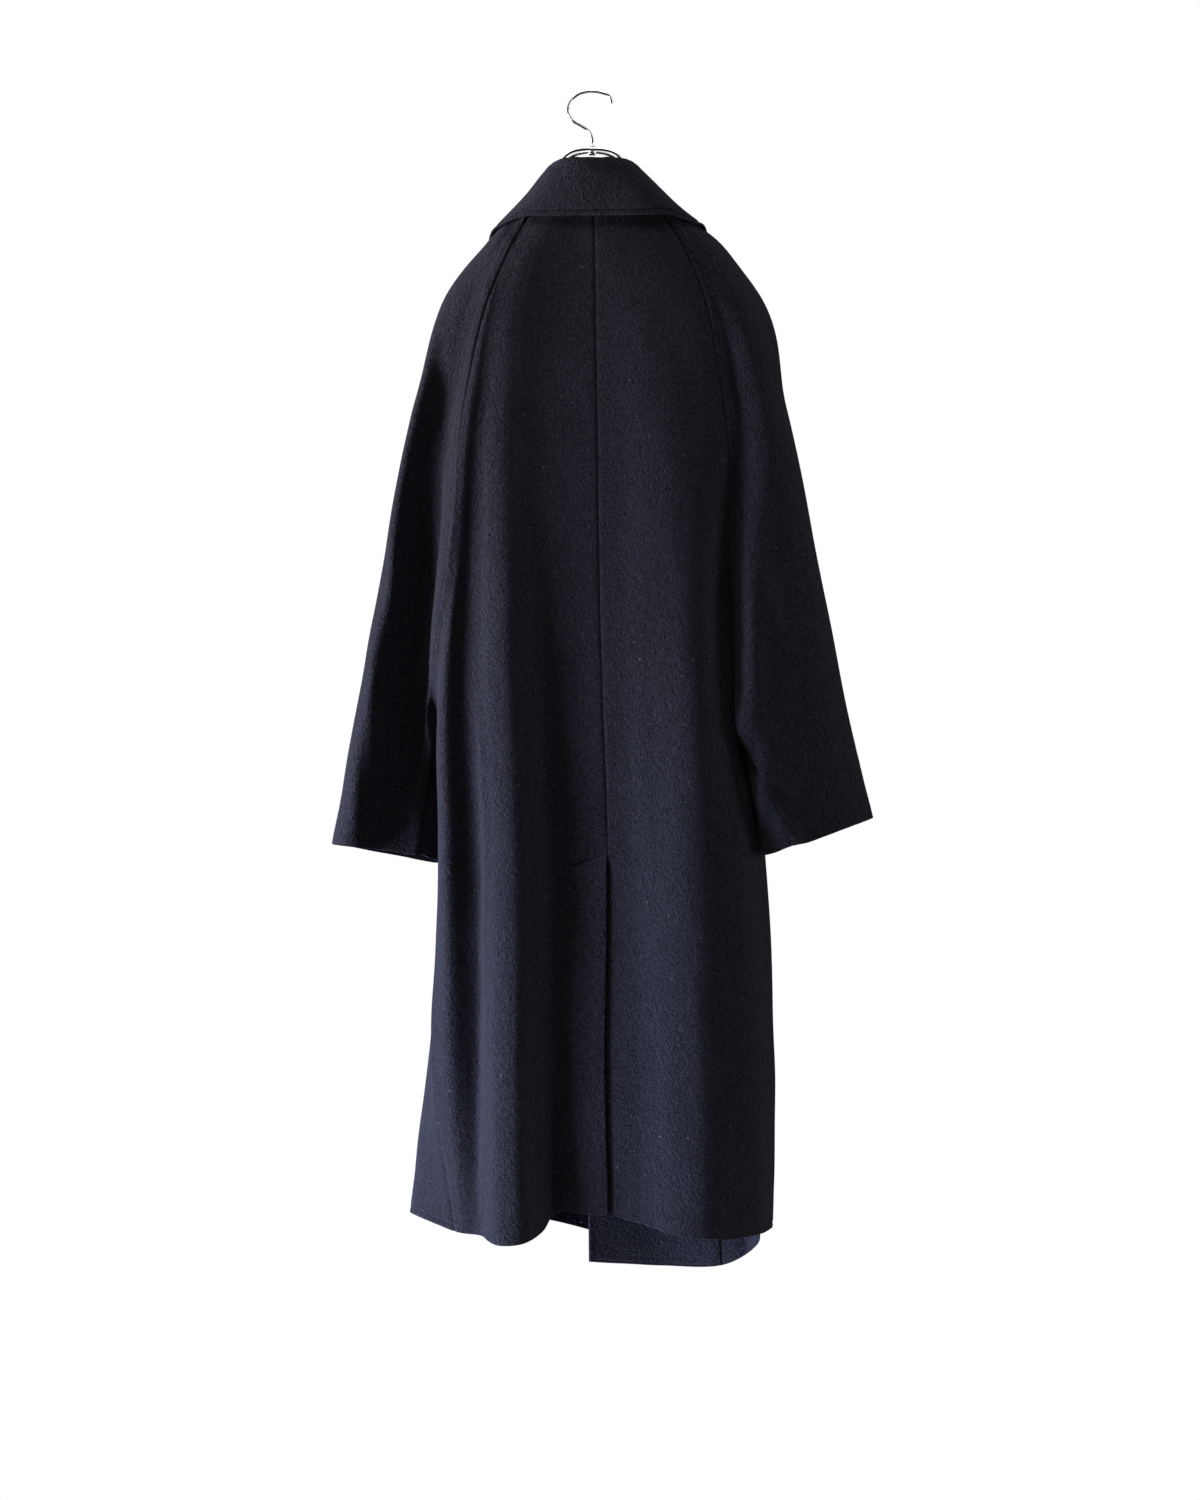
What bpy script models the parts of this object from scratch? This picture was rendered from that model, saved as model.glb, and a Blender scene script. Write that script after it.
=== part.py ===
"""A wrap coat of heavy black wool with raglan sleeves, hanging on a double-wire hanger.

The origin is at the inside top of the hanger's hook.  The coat faces -Y, and its left side is +X.
Lengths in the tables are in millimetres, and MM turns them into Blender's metres.
"""
from collections import namedtuple

import bpy
import numpy as np

MM = 0.001

# Cloth
WALL = 2.2
SEAM_GAP = 0.3
UNDERARM_GAP = 0.7
LAYER_GAP = 0.4
SPANS_BETWEEN_FOLDS = 2

# Heights at which the folds are given
YOKE = -200.0
CHEST = -340.0
ARM = -560.0
UNDERARM = -690.0
FOREARM = -760.0
KNEE = -850.0
SHIN = -1040.0
BODY_KNOTS = (112.0, 200.0, 340.0, 560.0, 850.0, 1040.0, 1220.0)
SLEEVE_KNOTS = (112.0, 200.0, 340.0, 560.0, 690.0, 815.0)
RAGLAN_KNOTS = (112.0, 200.0, 340.0, 560.0, 690.0)
SIDE_KNOTS = (690.0, 850.0, 1040.0, 1220.0)
UNDER_SEAM_KNOTS = (690.0, 760.0, 815.0)
TOP_SPANS = (2, 3, 4, 3)
BODY_SPANS = (3, 3, 3)
SLEEVE_SPANS = (2, 2)

# Neck edge on the left, from the centre back to the raglan seam, over the shoulder, then the front
NECK_BACK = ((-2, 44, -118), (24, 38, -114.5), (50, 16, -105.5))
NECK_SLEEVE = ((50, 16, -105.5), (55, 6, -105.3), (56, -6, -107), (46, -22, -112))
NECK_FRONT = ((46, -22, -112), (44, -31, -118))
NECKS = (NECK_BACK, NECK_SLEEVE, NECK_FRONT)
NECK_AXIS = -2.0

# A fold line runs from the neck edge (share of its length) to the hem; the rest are x, y (and hem z)
Fold = namedtuple("Fold", "neck yoke chest arm knee shin hem")
SleeveFold = namedtuple("SleeveFold", "neck yoke chest arm elbow cuff")
Raglan = namedtuple("Raglan", "neck yoke chest arm underarm")
SideSeam = namedtuple("SideSeam", "knee shin hem")
UnderSeam = namedtuple("UnderSeam", "forearm cuff")

CENTRE_BACK = Fold(0.00, (-3.5, 60), (-5.5, 67), (-8.6, 66), (-17, 64), (-15, 66), (-19, 62, -1201))

BACK_LEFT_FOLDS = (
    CENTRE_BACK,
    Fold(0.25, (24, 61.5), (26, 69), (28, 65.5), (16, 60.5), (14, 62), (12, 58, -1199.5)),
    Fold(0.45, (52, 65), (58, 75), (56, 69), (42, 62), (40, 59), (38, 48, -1200)),
    Fold(0.57, (66, 67.5), (77, 79), (75, 79.5), (60, 78.5), (57, 74), (52, 66, -1217.5)),
    Fold(0.68, (76, 67.5), (92, 81), (90, 84.5), (80, 90), (79, 90), (75, 89, -1226.5)),
    Fold(0.78, (83, 66), (102, 79), (107, 79.5), (103, 83), (102, 82), (99, 86, -1228)),
    Fold(0.86, (88, 65), (110, 76), (121, 69), (113, 73), (112, 69), (111, 73, -1226)),
    Fold(0.92, (91, 64), (118, 75), (136, 65), (122.5, 60), (121, 50), (119, 59, -1223)),
    Fold(0.97, (94, 63.5), (126, 77), (151, 71.5), (153, 66), (152, 50), (138, 50, -1222)),
)
BACK_RIGHT_FOLDS = (
    CENTRE_BACK,
    Fold(0.20, (-26, 60), (-30, 68), (-32, 68.5), (-38, 69), (-44, 72), (-50, 70, -1208)),
    Fold(0.40, (-46, 59), (-58, 71), (-62, 73.5), (-66, 80), (-78, 82), (-88, 82, -1218)),
    Fold(0.60, (-70, 57), (-84, 70), (-90, 75), (-98, 86), (-110, 84), (-118, 80, -1222)),
    Fold(0.80, (-92, 54), (-108, 65), (-116, 69), (-128, 79), (-140, 76), (-148, 68, -1224.5)),
    Fold(0.93, (-102, 51), (-126, 60), (-138, 48), (-158, 65), (-170, 61), (-178, 49, -1223)),
)
FRONT_LEFT_FOLDS = (
    Fold(0.15, (92, -41), (131, -50), (155, -34), (157, -30), (178, -16), (195, -2, -1210)),
    Fold(0.30, (86, -44), (121, -62), (147, -64), (160, -76), (176, -66), (186, -56, -1222)),
    Fold(0.50, (75, -48), (98, -76), (118, -84), (130, -106), (136, -115), (142, -124, -1240)),
    Fold(0.70, (62, -51), (66, -86), (60, -94), (58, -118), (58, -130), (58, -142, -1250)),
    Fold(0.85, (50, -53), (35, -88), (-5, -100), (-15, -117), (-16, -126), (-18, -134, -1255)),
    Fold(1.00, (40, -54), (5, -88), (-70, -102), (-88, -116), (-92, -127), (-96, -138, -1257)),
)
FRONT_RIGHT_FOLDS = (
    Fold(0.15, (-96, -43), (-128, -50), (-150, -41), (-191, -36), (-197, -36), (-197, -35, -1243)),
    Fold(0.30, (-90, -46), (-118, -60), (-145, -65), (-173, -78), (-178, -82), (-182, -85, -1266)),
    Fold(0.50, (-78, -50), (-90, -72), (-110, -80), (-136, -93), (-142, -101), (-148, -107, -1286.5)),
    Fold(0.70, (-64, -53), (-62, -78), (-65, -84), (-75, -100), (-77, -109), (-78, -118, -1290)),
    Fold(0.85, (-52, -54), (-36, -78), (-20, -82), (-25, -95), (-29, -103), (-32, -110, -1286)),
    Fold(1.00, (-44, -54), (-12, -77), (14, -80), (8, -90), (6, -97), (4, -103, -1283)),
)
RAGLAN_BACK_LEFT = Raglan(1.0, (96, 62.5), (134, 72.5), (160, 65), (168, 20))
RAGLAN_FRONT_LEFT = Raglan(0.0, (96, -38), (136, -40), (158, -20), (168, 20))
RAGLAN_BACK_RIGHT = Raglan(1.0, (-108, 48), (-138, 54), (-150, 30), (-155, 36))
RAGLAN_FRONT_RIGHT = Raglan(0.0, (-100, -40), (-132, -42), (-150, -28), (-155, 36))
SIDE_LEFT = SideSeam((165, 22), (172, 30), (147, 43, -1221.5))
SIDE_RIGHT = SideSeam((-185, 18), (-196, 14), (-195, 10, -1223))

# Sleeves, from the back raglan seam over the outside to the front raglan seam
SLEEVE_LEFT_FOLDS = (
    SleeveFold(0.04, (101, 60), (139, 66), (166, 58), (171, 22), (190, 12, -823)),
    SleeveFold(0.09, (106, 57), (146, 58), (170.5, 47), (177, 17), (197, 12.5, -822)),
    SleeveFold(0.15, (112, 52), (155, 54), (165, 28), (181, 5), (207, 14, -820)),
    SleeveFold(0.24, (121, 46), (168, 56), (178, 12), (198, 7), (226, 18, -817)),
    SleeveFold(0.38, (136, 32), (181, 60), (226, 43), (248, 39), (267, 36, -812)),
    SleeveFold(0.50, (143, 0), (187, 20), (234, 9), (258, 7), (280, 6, -811)),
    SleeveFold(0.62, (134, -20), (178, -27), (219, -28), (243, -25), (263, -22, -815)),
    SleeveFold(0.75, (120, -33), (163, -41), (195, -35), (213, -33), (230, -31, -823)),
    SleeveFold(0.88, (107, -38), (149, -45), (172, -29), (186, -20), (188, -16, -832)),
    SleeveFold(0.94, (101, -38.5), (142, -43), (164, -26), (167, 4), (166, -3, -832)),
)
SLEEVE_RIGHT_FOLDS = (
    SleeveFold(0.06, (-115, 47.5), (-152, 47), (-156, 52), (-156, 57), (-219, 53, -809)),
    SleeveFold(0.12, (-122, 46), (-170, 52), (-164, 60), (-168, 66), (-228, 52, -808)),
    SleeveFold(0.25, (-138, 41), (-184, 50), (-188, 56), (-206, 58), (-246, 46, -802)),
    SleeveFold(0.38, (-155, 25), (-200, 35), (-228, 43), (-248, 42), (-275, 33, -792)),
    SleeveFold(0.50, (-168, 0), (-210, 2), (-254, 4), (-281, 3), (-303, 3, -783)),
    SleeveFold(0.62, (-154, -21), (-197, -27), (-238, -26), (-262, -25), (-284, -25, -790)),
    SleeveFold(0.75, (-134, -35), (-172, -42), (-200, -36), (-222, -30), (-245, -28, -803)),
    SleeveFold(0.88, (-115, -40), (-152, -47), (-170, -26), (-176, 0), (-198, 4, -820)),
    SleeveFold(0.94, (-107, -41), (-142, -45), (-157, -17), (-160, 26), (-186, 32, -820)),
)
UNDER_SEAM_LEFT = UnderSeam((180, 10), (184, 10, -822))
UNDER_SEAM_RIGHT = UnderSeam((-184, 59), (-212, 52, -811))

# The two halves of the coat; side is 1 on the left and -1 on the right
Half = namedtuple("Half", "word side back front sleeve raglan_back raglan_front side_seam under_seam")
HALVES = (
    Half("left", 1, BACK_LEFT_FOLDS, FRONT_LEFT_FOLDS, SLEEVE_LEFT_FOLDS,
         RAGLAN_BACK_LEFT, RAGLAN_FRONT_LEFT, SIDE_LEFT, UNDER_SEAM_LEFT),
    Half("right", -1, BACK_RIGHT_FOLDS, FRONT_RIGHT_FOLDS, SLEEVE_RIGHT_FOLDS,
         RAGLAN_BACK_RIGHT, RAGLAN_FRONT_RIGHT, SIDE_RIGHT, UNDER_SEAM_RIGHT),
)

# Collar on the left, from the centre back round to the front end: neck seam, roll line, outer edge
CollarSection = namedtuple("CollarSection", "seam roll edge")
COLLAR_SECTIONS = (
    CollarSection((-2, 44, -117), (1, 46, -82.5), (-5, 60, -145)),
    CollarSection((22, 39, -114), (19, 43, -82.0), (39, 57, -145)),
    CollarSection((42, 23, -106), (34, 31, -82.5), (74, 45, -144)),
    CollarSection((53, 6, -104), (45, 9, -87.0), (97, 24, -143)),
    CollarSection((53, -8, -105), (47, -13, -95.0), (107, 5, -149)),
    CollarSection((45, -28, -109), (48, -38, -111.0), (113, -24, -168)),
    CollarSection((42, -48, -148), (42, -62, -156.0), (110, -60, -212)),
    CollarSection((38, -60, -200), (33, -76, -212.0), (88, -82, -270)),
    CollarSection((24, -80, -268), (17, -96, -276.0), (40, -102, -318)),
)
COLLAR_ROLL_AXIS = 1.0
COLLAR_EDGE_AXIS = -5.0
COLLAR_ROLL = 5.0
COLLAR_STAND_SHARE = 0.72
COLLAR_APEX_OUT = 3.0
COLLAR_FALL_OUT = 8.0
COLLAR_BULGE = 2.0
COLLAR_SPANS = 2
COLLAR_ACROSS = 8

# Vent and facing
VENT_TOP = 830.0
VENT_COLUMNS_LEFT = 3
FACING_TOP = 400.0
FACING_FIRST_FOLD = 3
FACING_HEM_RISE = 5.0

# Hanger
WIRE_RADIUS = 2.0
WIRE_CLEARANCE = 1.2
HOOK_PATH = (
    (-21.6, -11.5), (-19.0, -3.5), (-9.0, 1.0), (2.2, 2.0), (14.0, -0.5), (23.0, -8.5),
    (26.5, -18.5), (22.0, -28.5), (12.0, -35.0), (3.5, -41.0), (0.0, -48.0), (0.0, -55.7),
)
HOOK_POINTS = 34
FERRULE_RADIUS = 4.6
FERRULE_TOP = -56.0
FERRULE_BOTTOM = -68.0
FERRULE_SIDES = 24
ArchPoint = namedtuple("ArchPoint", "x y z")
ARCH_PATH = (
    ArchPoint(0, 6.95, -62),
    ArchPoint(26, 11, -68),
    ArchPoint(39, 11, -87),
    ArchPoint(43, 10, -107),
)
ARM_POINTS = 40
ARM_SHARE = 0.5
ARM_ROWS = (152.0, 166.0, 180.0, 194.0, 206.0)
CROWN_NECK = 0.50

WOOL = ((0.010, 0.011, 0.015, 1.0), 0.95, 0.0)
CHROME = ((0.80, 0.80, 0.82, 1.0), 0.12, 1.0)


def smooth(knots, points, at):
    """Cubic curve through points given at rising knots, read at the values in at."""
    knots = np.asarray(knots, float)
    points = np.asarray(points, float)
    at = np.asarray(at, float)
    slopes = np.gradient(points, knots, axis=0)
    low = np.clip(np.searchsorted(knots, at, side="right") - 1, 0, len(knots) - 2)
    width = (knots[low + 1] - knots[low])[:, None]
    share = (at - knots[low])[:, None] / width
    rise = share * share * (3.0 - 2.0 * share)
    start_push = share * (1.0 - share) ** 2 * width
    end_push = share * share * (share - 1.0) * width
    straight = points[low] * (1.0 - rise) + points[low + 1] * rise
    return straight + slopes[low] * start_push + slopes[low + 1] * end_push


def along(points, shares):
    """Points at shares of the length of a smooth curve through points."""
    points = np.asarray(points, float)
    steps = np.linalg.norm(np.diff(points, axis=0), axis=1)
    knots = np.concatenate([[0.0], np.cumsum(steps)])
    return smooth(knots, points, np.asarray(shares) * knots[-1])


def mirrored(points, axis):
    """The same points on the other side of the plane x = axis."""
    flipped = np.array(points, float)
    flipped[..., 0] = 2.0 * axis - flipped[..., 0]
    return flipped


def on_side(neck, half):
    """A stretch of the neck edge on one half of the coat."""
    return np.array(neck, float) if half.side > 0 else mirrored(neck, NECK_AXIS)


def row_values(knots, spans):
    """Row positions down a panel, with the given number of spans between knots."""
    values = [knots[0]]
    for first, last, count in zip(knots, knots[1:], spans):
        values.extend(np.linspace(first, last, count + 1)[1:])
    return np.array(values)


def body_line(fold, neck, rows):
    """A body fold from the neck edge down to the hem."""
    top = along(neck, [fold.neck])[0]
    upper = (top, (*fold.yoke, YOKE), (*fold.chest, CHEST), (*fold.arm, ARM))
    lower = ((*fold.knee, KNEE), (*fold.shin, SHIN), fold.hem)
    return smooth(BODY_KNOTS, upper + lower, rows)


def sleeve_line(fold, neck, rows):
    """A sleeve fold from the neck edge down to the cuff."""
    top = along(neck, [fold.neck])[0]
    upper = (top, (*fold.yoke, YOKE), (*fold.chest, CHEST), (*fold.arm, ARM))
    lower = ((*fold.elbow, UNDERARM), fold.cuff)
    return smooth(SLEEVE_KNOTS, upper + lower, rows)


def edge_line(raglan, neck, lower, lower_knots, rows):
    """A panel's outer edge: the raglan seam down to the underarm, then the lower points of its other seam."""
    underarm = (*raglan.underarm, UNDERARM)
    top = along(neck, [raglan.neck])[0]
    upper = (top, (*raglan.yoke, YOKE), (*raglan.chest, CHEST), (*raglan.arm, ARM), underarm)
    above = rows <= RAGLAN_KNOTS[-1]
    line = np.empty((len(rows), 3))
    line[above] = smooth(RAGLAN_KNOTS, upper, rows[above])
    line[~above] = smooth(lower_knots, (underarm, *lower), rows[~above])
    return line


def across(lines, spans):
    """Grid of rows by columns whose rows run smoothly through the fold lines."""
    lines = np.asarray(lines)
    grid = []
    for row in range(lines.shape[1]):
        points = lines[:, row]
        steps = np.linalg.norm(np.diff(points, axis=0), axis=1)
        knots = np.concatenate([[0.0], np.cumsum(steps)])
        grid.append(smooth(knots, points, row_values(knots, [spans] * len(steps))))
    return np.array(grid)


def grid_normals(grid, side):
    """Normals of a grid, pointing out of the coat; side is 1 on the left and -1 on the right."""
    normals = np.cross(np.gradient(grid, axis=1), np.gradient(grid, axis=0)) * side
    return normals / np.linalg.norm(normals, axis=2, keepdims=True)


def shared_normals(panels):
    """Normals of all panels, averaged where two meet at a seam, so that their walls are mitred.

    More than two meet at an underarm, where the cloth faces down.
    """
    normals = {name: grid_normals(grid, side) for name, (grid, side) in panels.items()}
    meeting = {}
    for name, (grid, side) in panels.items():
        for place, normal in zip(np.round(grid, 3).reshape(-1, 3), normals[name].reshape(-1, 3)):
            meeting.setdefault(tuple(place), []).append(normal)
    mitres = {}
    for place, found in meeting.items():
        mitre = np.sum(found, axis=0) if len(found) <= 2 else np.array([0.0, 0.0, -1.0])
        mitres[place] = mitre / np.linalg.norm(mitre)
    for name, (grid, side) in panels.items():
        places = np.round(grid, 3).reshape(-1, 3)
        normals[name] = np.array([mitres[tuple(place)] for place in places]).reshape(grid.shape)
    return normals


def pulled_back(grid, side, mitres):
    """The grid with its first and last columns moved off the mitre by half the seam gap.

    At the underarm the corners of all the panels move apart, away from their own outer face.
    """
    moved = grid.copy()
    own = grid_normals(grid, side)
    for edge, inner in ((0, 1), (-1, -2)):
        mitre = mitres[:, edge]
        way = grid[:, inner] - grid[:, edge]
        way -= mitre * np.sum(way * mitre, axis=1, keepdims=True)
        way /= np.linalg.norm(way, axis=1, keepdims=True)
        moved[:, edge] += way * SEAM_GAP / 2.0
        for row in np.flatnonzero(mitre[:, 2] == -1.0):
            corner = np.array([-np.sign(own[row, edge, 0]), np.sign(way[row, 1]), 0.0])
            moved[row, edge] = grid[row, edge] + corner * UNDERARM_GAP / 2.0
    return moved


def add_object(name, mesh, finish, collection):
    """A named object with its own Principled material."""
    colour, roughness, metallic = finish
    material = bpy.data.materials.new(name)
    material.use_nodes = True
    shader = material.node_tree.nodes["Principled BSDF"]
    shader.inputs["Base Color"].default_value = colour
    shader.inputs["Roughness"].default_value = roughness
    shader.inputs["Metallic"].default_value = metallic
    mesh.materials.append(material)
    thing = bpy.data.objects.new(name, mesh)
    collection.objects.link(thing)
    return thing


def add_wall(name, outer, inner, side, collection):
    """A closed cloth wall between an outer and an inner grid, with a rim all round."""
    rows, columns = outer.shape[:2]
    count = rows * columns
    index = np.arange(count).reshape(rows, columns)
    faces = []
    for row in range(rows - 1):
        for column in range(columns - 1):
            a, b = index[row, column], index[row, column + 1]
            c, d = index[row + 1, column + 1], index[row + 1, column]
            faces += [(a, b, c), (a, c, d)]
            faces += [(c + count, b + count, a + count), (d + count, c + count, a + count)]
    rim = list(index[0, :]) + list(index[1:, -1]) + list(index[-1, -2::-1]) + list(index[-2:0:-1, 0])
    for a, b in zip(rim, rim[1:] + rim[:1]):
        if a < b:
            faces += [(a, a + count, b + count), (a, b + count, b)]
        else:
            faces += [(b, a, a + count), (b, a + count, b + count)]
    if side < 0:
        faces = [face[::-1] for face in faces]
    points = np.concatenate([outer.reshape(-1, 3), inner.reshape(-1, 3)]) * MM
    mesh = bpy.data.meshes.new(name)
    mesh.from_pydata(points.tolist(), [], [tuple(int(i) for i in face) for face in faces])
    mesh.shade_smooth()
    add_object(name, mesh, WOOL, collection)


def add_tube(name, path, radius, cyclic, finish, collection):
    """A round wire along a path."""
    curve = bpy.data.curves.new(name, "CURVE")
    curve.dimensions = "3D"
    curve.bevel_depth = radius * MM
    curve.bevel_resolution = 2
    curve.use_fill_caps = not cyclic
    spline = curve.splines.new("POLY")
    spline.points.add(len(path) - 1)
    for point, place in zip(spline.points, path):
        point.co = (*(np.asarray(place) * MM), 1.0)
    spline.use_cyclic_u = cyclic
    add_object(name, curve, finish, collection)


def body_panels():
    """Grids of the four body panels and two sleeves, with the side that each is on."""
    top_rows = row_values(RAGLAN_KNOTS, TOP_SPANS)
    rows = np.concatenate([top_rows, row_values(SIDE_KNOTS, BODY_SPANS)[1:]])
    sleeve_rows = np.concatenate([top_rows, row_values(UNDER_SEAM_KNOTS, SLEEVE_SPANS)[1:]])
    panels = {}
    for half in HALVES:
        neck_back, neck_sleeve, neck_front = (on_side(neck, half) for neck in NECKS)
        side = ((*half.side_seam.knee, KNEE), (*half.side_seam.shin, SHIN), half.side_seam.hem)
        under = ((*half.under_seam.forearm, FOREARM), half.under_seam.cuff)
        back_edge = edge_line(half.raglan_back, neck_back, side, SIDE_KNOTS, rows)
        front_edge = edge_line(half.raglan_front, neck_front, side, SIDE_KNOTS, rows)
        back_lines = [body_line(fold, neck_back, rows) for fold in half.back]
        front_lines = [body_line(fold, neck_front, rows) for fold in half.front]
        first = edge_line(half.raglan_back, neck_back, under, UNDER_SEAM_KNOTS, sleeve_rows)
        last = edge_line(half.raglan_front, neck_front, under, UNDER_SEAM_KNOTS, sleeve_rows)
        middle = [sleeve_line(fold, neck_sleeve, sleeve_rows) for fold in half.sleeve]
        panels["back_" + half.word] = (across(back_lines + [back_edge], SPANS_BETWEEN_FOLDS), half.side)
        panels["front_" + half.word] = (across([front_edge] + front_lines, SPANS_BETWEEN_FOLDS), half.side)
        panels["sleeve_" + half.word] = (across([first] + middle + [last], SPANS_BETWEEN_FOLDS), half.side)
    return panels, rows


def collar_grid():
    """The collar strip, from the left front end round the back to the right, seam to edge."""
    left = [np.array(section, float) for section in COLLAR_SECTIONS]
    right = []
    for section in left[1:]:
        axes = (NECK_AXIS, COLLAR_ROLL_AXIS, COLLAR_EDGE_AXIS)
        right.append([mirrored(point, axis) for point, axis in zip(section, axes)])
    sections = np.array(left[::-1] + right)
    knots = np.arange(len(sections), dtype=float)
    stations = row_values(knots, [COLLAR_SPANS] * (len(knots) - 1))
    fine = smooth(knots, sections.reshape(len(sections), -1), stations)
    grid = []
    for seam, roll, edge in fine.reshape(-1, 3, 3):
        outward = (edge - seam) * (1.0, 1.0, 0.0)
        outward = outward / np.linalg.norm(outward)
        drop = np.array([0.0, 0.0, -1.0])
        stand_top = seam + (roll - seam) * COLLAR_STAND_SHARE
        fall_top = roll + outward * COLLAR_FALL_OUT + drop * COLLAR_ROLL
        fall_middle = (fall_top + edge) / 2.0 + outward * COLLAR_BULGE
        spine = (seam, stand_top, roll + outward * COLLAR_APEX_OUT, fall_top, fall_middle, edge)
        grid.append(along(spine, np.linspace(0.0, 1.0, COLLAR_ACROSS + 1)))
    return np.array(grid)


def add_cloth(collection):
    """All cloth pieces."""
    panels, rows = body_panels()
    normals = shared_normals(panels)
    for name, (grid, side) in panels.items():
        outer = pulled_back(grid, side, normals[name])
        add_wall(name, outer, outer - normals[name] * WALL, side, collection)

    inset = WALL + LAYER_GAP
    left, right = panels["back_left"][0], panels["back_right"][0]
    behind_left = (left - normals["back_left"] * inset)[rows >= VENT_TOP, :VENT_COLUMNS_LEFT + 1]
    behind_right = (right - normals["back_right"] * inset)[rows >= VENT_TOP, 1:2]
    underlap = np.concatenate([behind_right, behind_left], axis=1)
    add_wall("vent_underlap", underlap, underlap - grid_normals(underlap, 1) * WALL, 1, collection)

    front = panels["front_right"][0]
    behind_front = front - normals["front_right"] * inset
    facing = behind_front[rows >= FACING_TOP, FACING_FIRST_FOLD * SPANS_BETWEEN_FOLDS:]
    facing[-1] += (0.0, 0.0, FACING_HEM_RISE)
    add_wall("front_right_facing", facing, facing - grid_normals(facing, -1) * WALL, -1, collection)

    collar = collar_grid()
    add_wall("collar", collar, collar + grid_normals(collar, 1) * WALL, -1, collection)


def arm_path(half, facing_way):
    """One wire of a hanger arm, under the shoulder of a sleeve; facing_way is 1 at the back, -1 in front."""
    rows = np.array(ARM_ROWS)
    neck = on_side(NECK_SLEEVE, half)
    crown_fold = [fold.neck for fold in half.sleeve].index(CROWN_NECK)
    near = half.sleeve[crown_fold - 1:crown_fold + 2]
    back, crown, front = (sleeve_line(fold, neck, rows) for fold in near)
    beside = back if facing_way > 0 else front
    point = crown + (beside - crown) * ARM_SHARE
    down = smooth(rows, crown, rows + 1.0) - smooth(rows, crown, rows - 1.0)
    normal = np.cross(down, back - front) * half.side
    normal = normal / np.linalg.norm(normal, axis=1, keepdims=True)
    return point - normal * (WALL + WIRE_CLEARANCE + WIRE_RADIUS)


def add_hanger(collection):
    """The hook, its ferrule, and the two arms of double wire in one loop."""
    hook = along([(x, 0.0, z) for x, z in HOOK_PATH], np.linspace(0.0, 1.0, HOOK_POINTS))
    add_tube("hanger_hook", hook, WIRE_RADIUS, False, CHROME, collection)

    bpy.ops.mesh.primitive_cylinder_add(
        vertices=FERRULE_SIDES, radius=FERRULE_RADIUS * MM, depth=(FERRULE_TOP - FERRULE_BOTTOM) * MM)
    barrel = bpy.context.object
    mesh = barrel.data
    bpy.data.objects.remove(barrel)
    ferrule = add_object("hanger_ferrule", mesh, CHROME, collection)
    ferrule.location = (0.0, 0.0, (FERRULE_TOP + FERRULE_BOTTOM) / 2.0 * MM)

    arch = np.array(ARCH_PATH, float)
    wires = {}
    for facing_way in (1, -1):
        bend = arch * (1.0, facing_way, 1.0)
        left = np.concatenate([bend[1:], arm_path(HALVES[0], facing_way)])
        right = np.concatenate([mirrored(bend[1:], 0.0), arm_path(HALVES[1], facing_way)])
        wires[facing_way] = np.concatenate([left[::-1], bend[:1], right])
    back = along(wires[1], np.linspace(0.0, 1.0, ARM_POINTS))
    front = along(wires[-1], np.linspace(0.0, 1.0, ARM_POINTS))
    loop = np.concatenate([back, front[::-1]])
    add_tube("hanger_arms", loop, WIRE_RADIUS, True, CHROME, collection)


def main():
    for thing in list(bpy.data.objects):
        bpy.data.objects.remove(thing)
    collection = bpy.data.collections.new("wrap_coat")
    bpy.context.scene.collection.children.link(collection)
    add_cloth(collection)
    add_hanger(collection)


main()
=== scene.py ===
"""Looks of a wrap coat of heavy felted wool, hanging on a double-wire hanger.

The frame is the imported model's: the origin is at the inside top of the hook, the coat faces -Y and its
left side is +X. Lengths in the tables are in millimetres, and MM turns them into Blender's metres.
"""
from collections import namedtuple
from math import pi, radians

import bpy
import numpy as np
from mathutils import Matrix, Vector


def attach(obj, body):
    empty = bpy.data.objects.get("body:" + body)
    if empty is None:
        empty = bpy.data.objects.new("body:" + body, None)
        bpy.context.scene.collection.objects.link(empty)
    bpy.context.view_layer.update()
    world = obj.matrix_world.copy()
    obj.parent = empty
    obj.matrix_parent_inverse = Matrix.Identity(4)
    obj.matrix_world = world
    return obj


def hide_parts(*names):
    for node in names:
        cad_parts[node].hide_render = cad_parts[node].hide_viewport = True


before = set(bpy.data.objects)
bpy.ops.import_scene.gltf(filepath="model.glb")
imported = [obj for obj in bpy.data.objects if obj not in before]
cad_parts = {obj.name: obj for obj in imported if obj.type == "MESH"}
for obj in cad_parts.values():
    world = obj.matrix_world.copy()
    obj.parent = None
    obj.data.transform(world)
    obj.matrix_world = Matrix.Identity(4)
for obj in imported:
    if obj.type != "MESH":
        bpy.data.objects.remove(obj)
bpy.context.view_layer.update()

MM = 0.001
SCENE = bpy.context.scene

# Cloth
WALL = 2.2
LAYER_GAP = 0.4
THIN_RIM = 0.12
SEAM_ROUND = 0.5
FREE_ROUND = 1.1

# Relief of the cloth: raised raglan bands, sunk seams and stitched lines, thick hems, a pressed back
BAND_WIDTH = 9.0
BAND_RISE = 1.5
BAND_START = (0.3, 1.6)
BAND_END = (BAND_WIDTH - 1.0, BAND_WIDTH + 2.0)
BAND_STITCH = BAND_WIDTH - 1.5
SEAM_SINK = 0.5
SEAM_SINK_WIDTH = 3.0
SIDE_SINK = 1.7
SIDE_SINK_WIDTH = 2.8
SIDE_SINK_ROWS = (1040.0, 1130.0)
UNDER_SINK_ROWS = (705.0, 730.0)
CENTRE_SINK = 0.9
CENTRE_SINK_WIDTH = 2.0
CENTRE_SINK_ROWS = (790.0, 819.0)
COLLAR_SINK = 2.0
COLLAR_SINK_WIDTH = 1.6
STITCH_INSET = 6.2
STITCH_SINK = 0.7
STITCH_SINK_WIDTH = 1.1
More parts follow.
